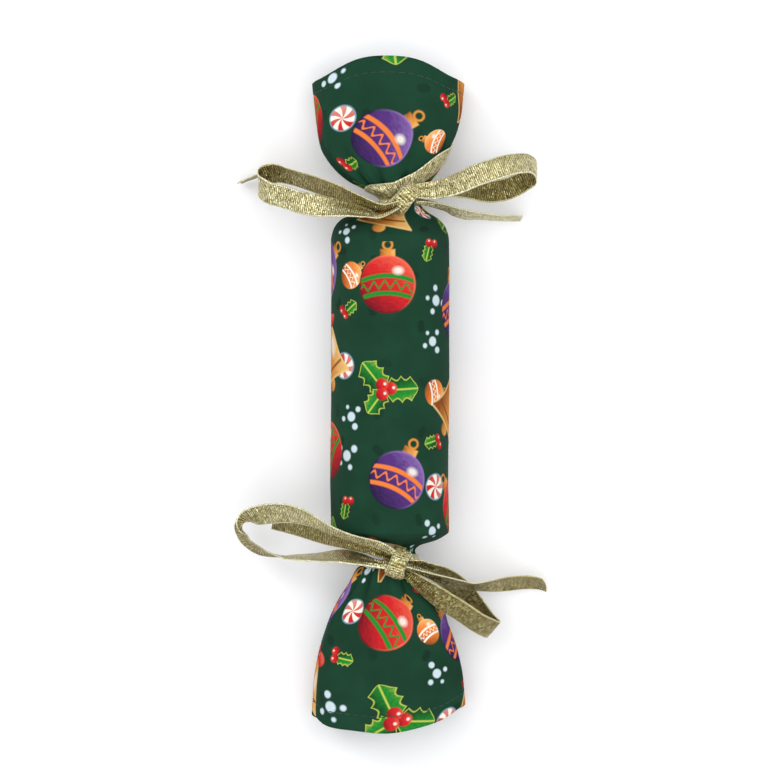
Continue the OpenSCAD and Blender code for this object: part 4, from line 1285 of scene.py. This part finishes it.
def dress_inside():
    """The rigid pieces inside keep their solids and get their card and woods."""
    looks = {
        "card_tube": wound_card(),
        "snap_strip_far": snap_card(),
        "snap_strip_near": snap_card(),
        "snap_band": snap_wrap(),
        "top_disc": turned_wood("painted_wood", srgb(176, 30, 30), srgb(118, 14, 20), 0.3),
        "top_spindle": turned_wood("bare_wood", srgb(214, 178, 124), srgb(160, 118, 70), 0.45),
    }
    for node, material in looks.items():
        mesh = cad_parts[node].data
        mesh.materials.clear()
        mesh.materials.append(material)


# Camera, floor and light, in metres

# The width that the view takes in and its middle, and the camera's height over that
VIEW_W = 0.347
VIEW_AT = Vector((0.0, -0.00245, 0.026))
CAMERA_UP = 2.2
SENSOR_W = 36.0
FLOOR_HALF = 3.0
FLOOR_Z = -0.0002
# What the floor shows and what it throws back on the object
FLOOR_SEEN, FLOOR_BOUNCE = (0.93, 0.93, 0.94), (0.75, 0.75, 0.76)
# Light that the floor adds of its own, so that it stays white beyond the object's shadow
FLOOR_GLOW = 0.08
# Area lamps: name, place, width and power
LAMPS = [
    ("overhead", (-0.05, 0.0, 1.7), 2.2, 21),
    ("top_left", (-0.9, 0.7, 1.0), 0.6, 4),
    ("right", (1.0, 0.1, 0.9), 0.5, 2.5),
]
SKY, SKY_POWER = (0.95, 0.97, 1.0, 1), 0.5


def camera():
    data = bpy.data.cameras.new("camera")
    data.sensor_width = SENSOR_W
    data.lens = SENSOR_W * CAMERA_UP / VIEW_W
    data.clip_start, data.clip_end = 0.1, 20
    obj = linked("camera", data)
    obj.location = VIEW_AT + Vector((0, 0, CAMERA_UP))
    bpy.context.scene.camera = obj


def floor_white():
    """White that looks brighter than the light that it throws back."""
    look = Look("floor_white")
    rays = add_node(look.tree, "ShaderNodeLightPath").outputs
    seen = most(Value(rays["Is Camera Ray"]), Value(rays["Is Glossy Ray"]))
    seen = most(seen, Value(rays["Is Transmission Ray"]))
    look.finish(mix(seen, FLOOR_BOUNCE, FLOOR_SEEN), 0.9, Specular_IOR_Level=0.0)
    glow = result("Emission", {"Color": (1, 1, 1), "Strength": seen * FLOOR_GLOW})
    both = result("AddShader", (Value(look.shader.outputs[0]), glow))
    put(look.tree.nodes["Material Output"].inputs["Surface"], both)
    return look.material


def floor():
    corners = [(-1, -1, 0), (1, -1, 0), (1, 1, 0), (-1, 1, 0)]
    points = np.array(corners) * FLOOR_HALF / MM
    mesh = smooth_mesh("floor", points, [(0, 1, 2, 3)], [floor_white()])
    obj = linked("floor", mesh)
    obj.location = (0, 0, FLOOR_Z)


def softbox(name, place, size, power):
    """An area lamp that looks at the object."""
    data = bpy.data.lights.new(name, "AREA")
    data.shape = "DISK"
    data.size = size
    data.energy = power
    obj = linked(name, data)
    obj.location = place
    obj.rotation_mode = "QUATERNION"
    obj.rotation_quaternion = (VIEW_AT - Vector(place)).to_track_quat("-Z", "Y")


def lights():
    for lamp in LAMPS:
        softbox(*lamp)
    world = bpy.data.worlds.new("studio")
    world.use_nodes = True
    back = world.node_tree.nodes["Background"]
    back.inputs["Color"].default_value = SKY
    back.inputs["Strength"].default_value = SKY_POWER
    bpy.context.scene.world = world
    bpy.context.scene.view_settings.view_transform = "Standard"


camera()
floor()
lights()
dress_sleeve()
dress_ribbons()
dress_papers()
dress_inside()
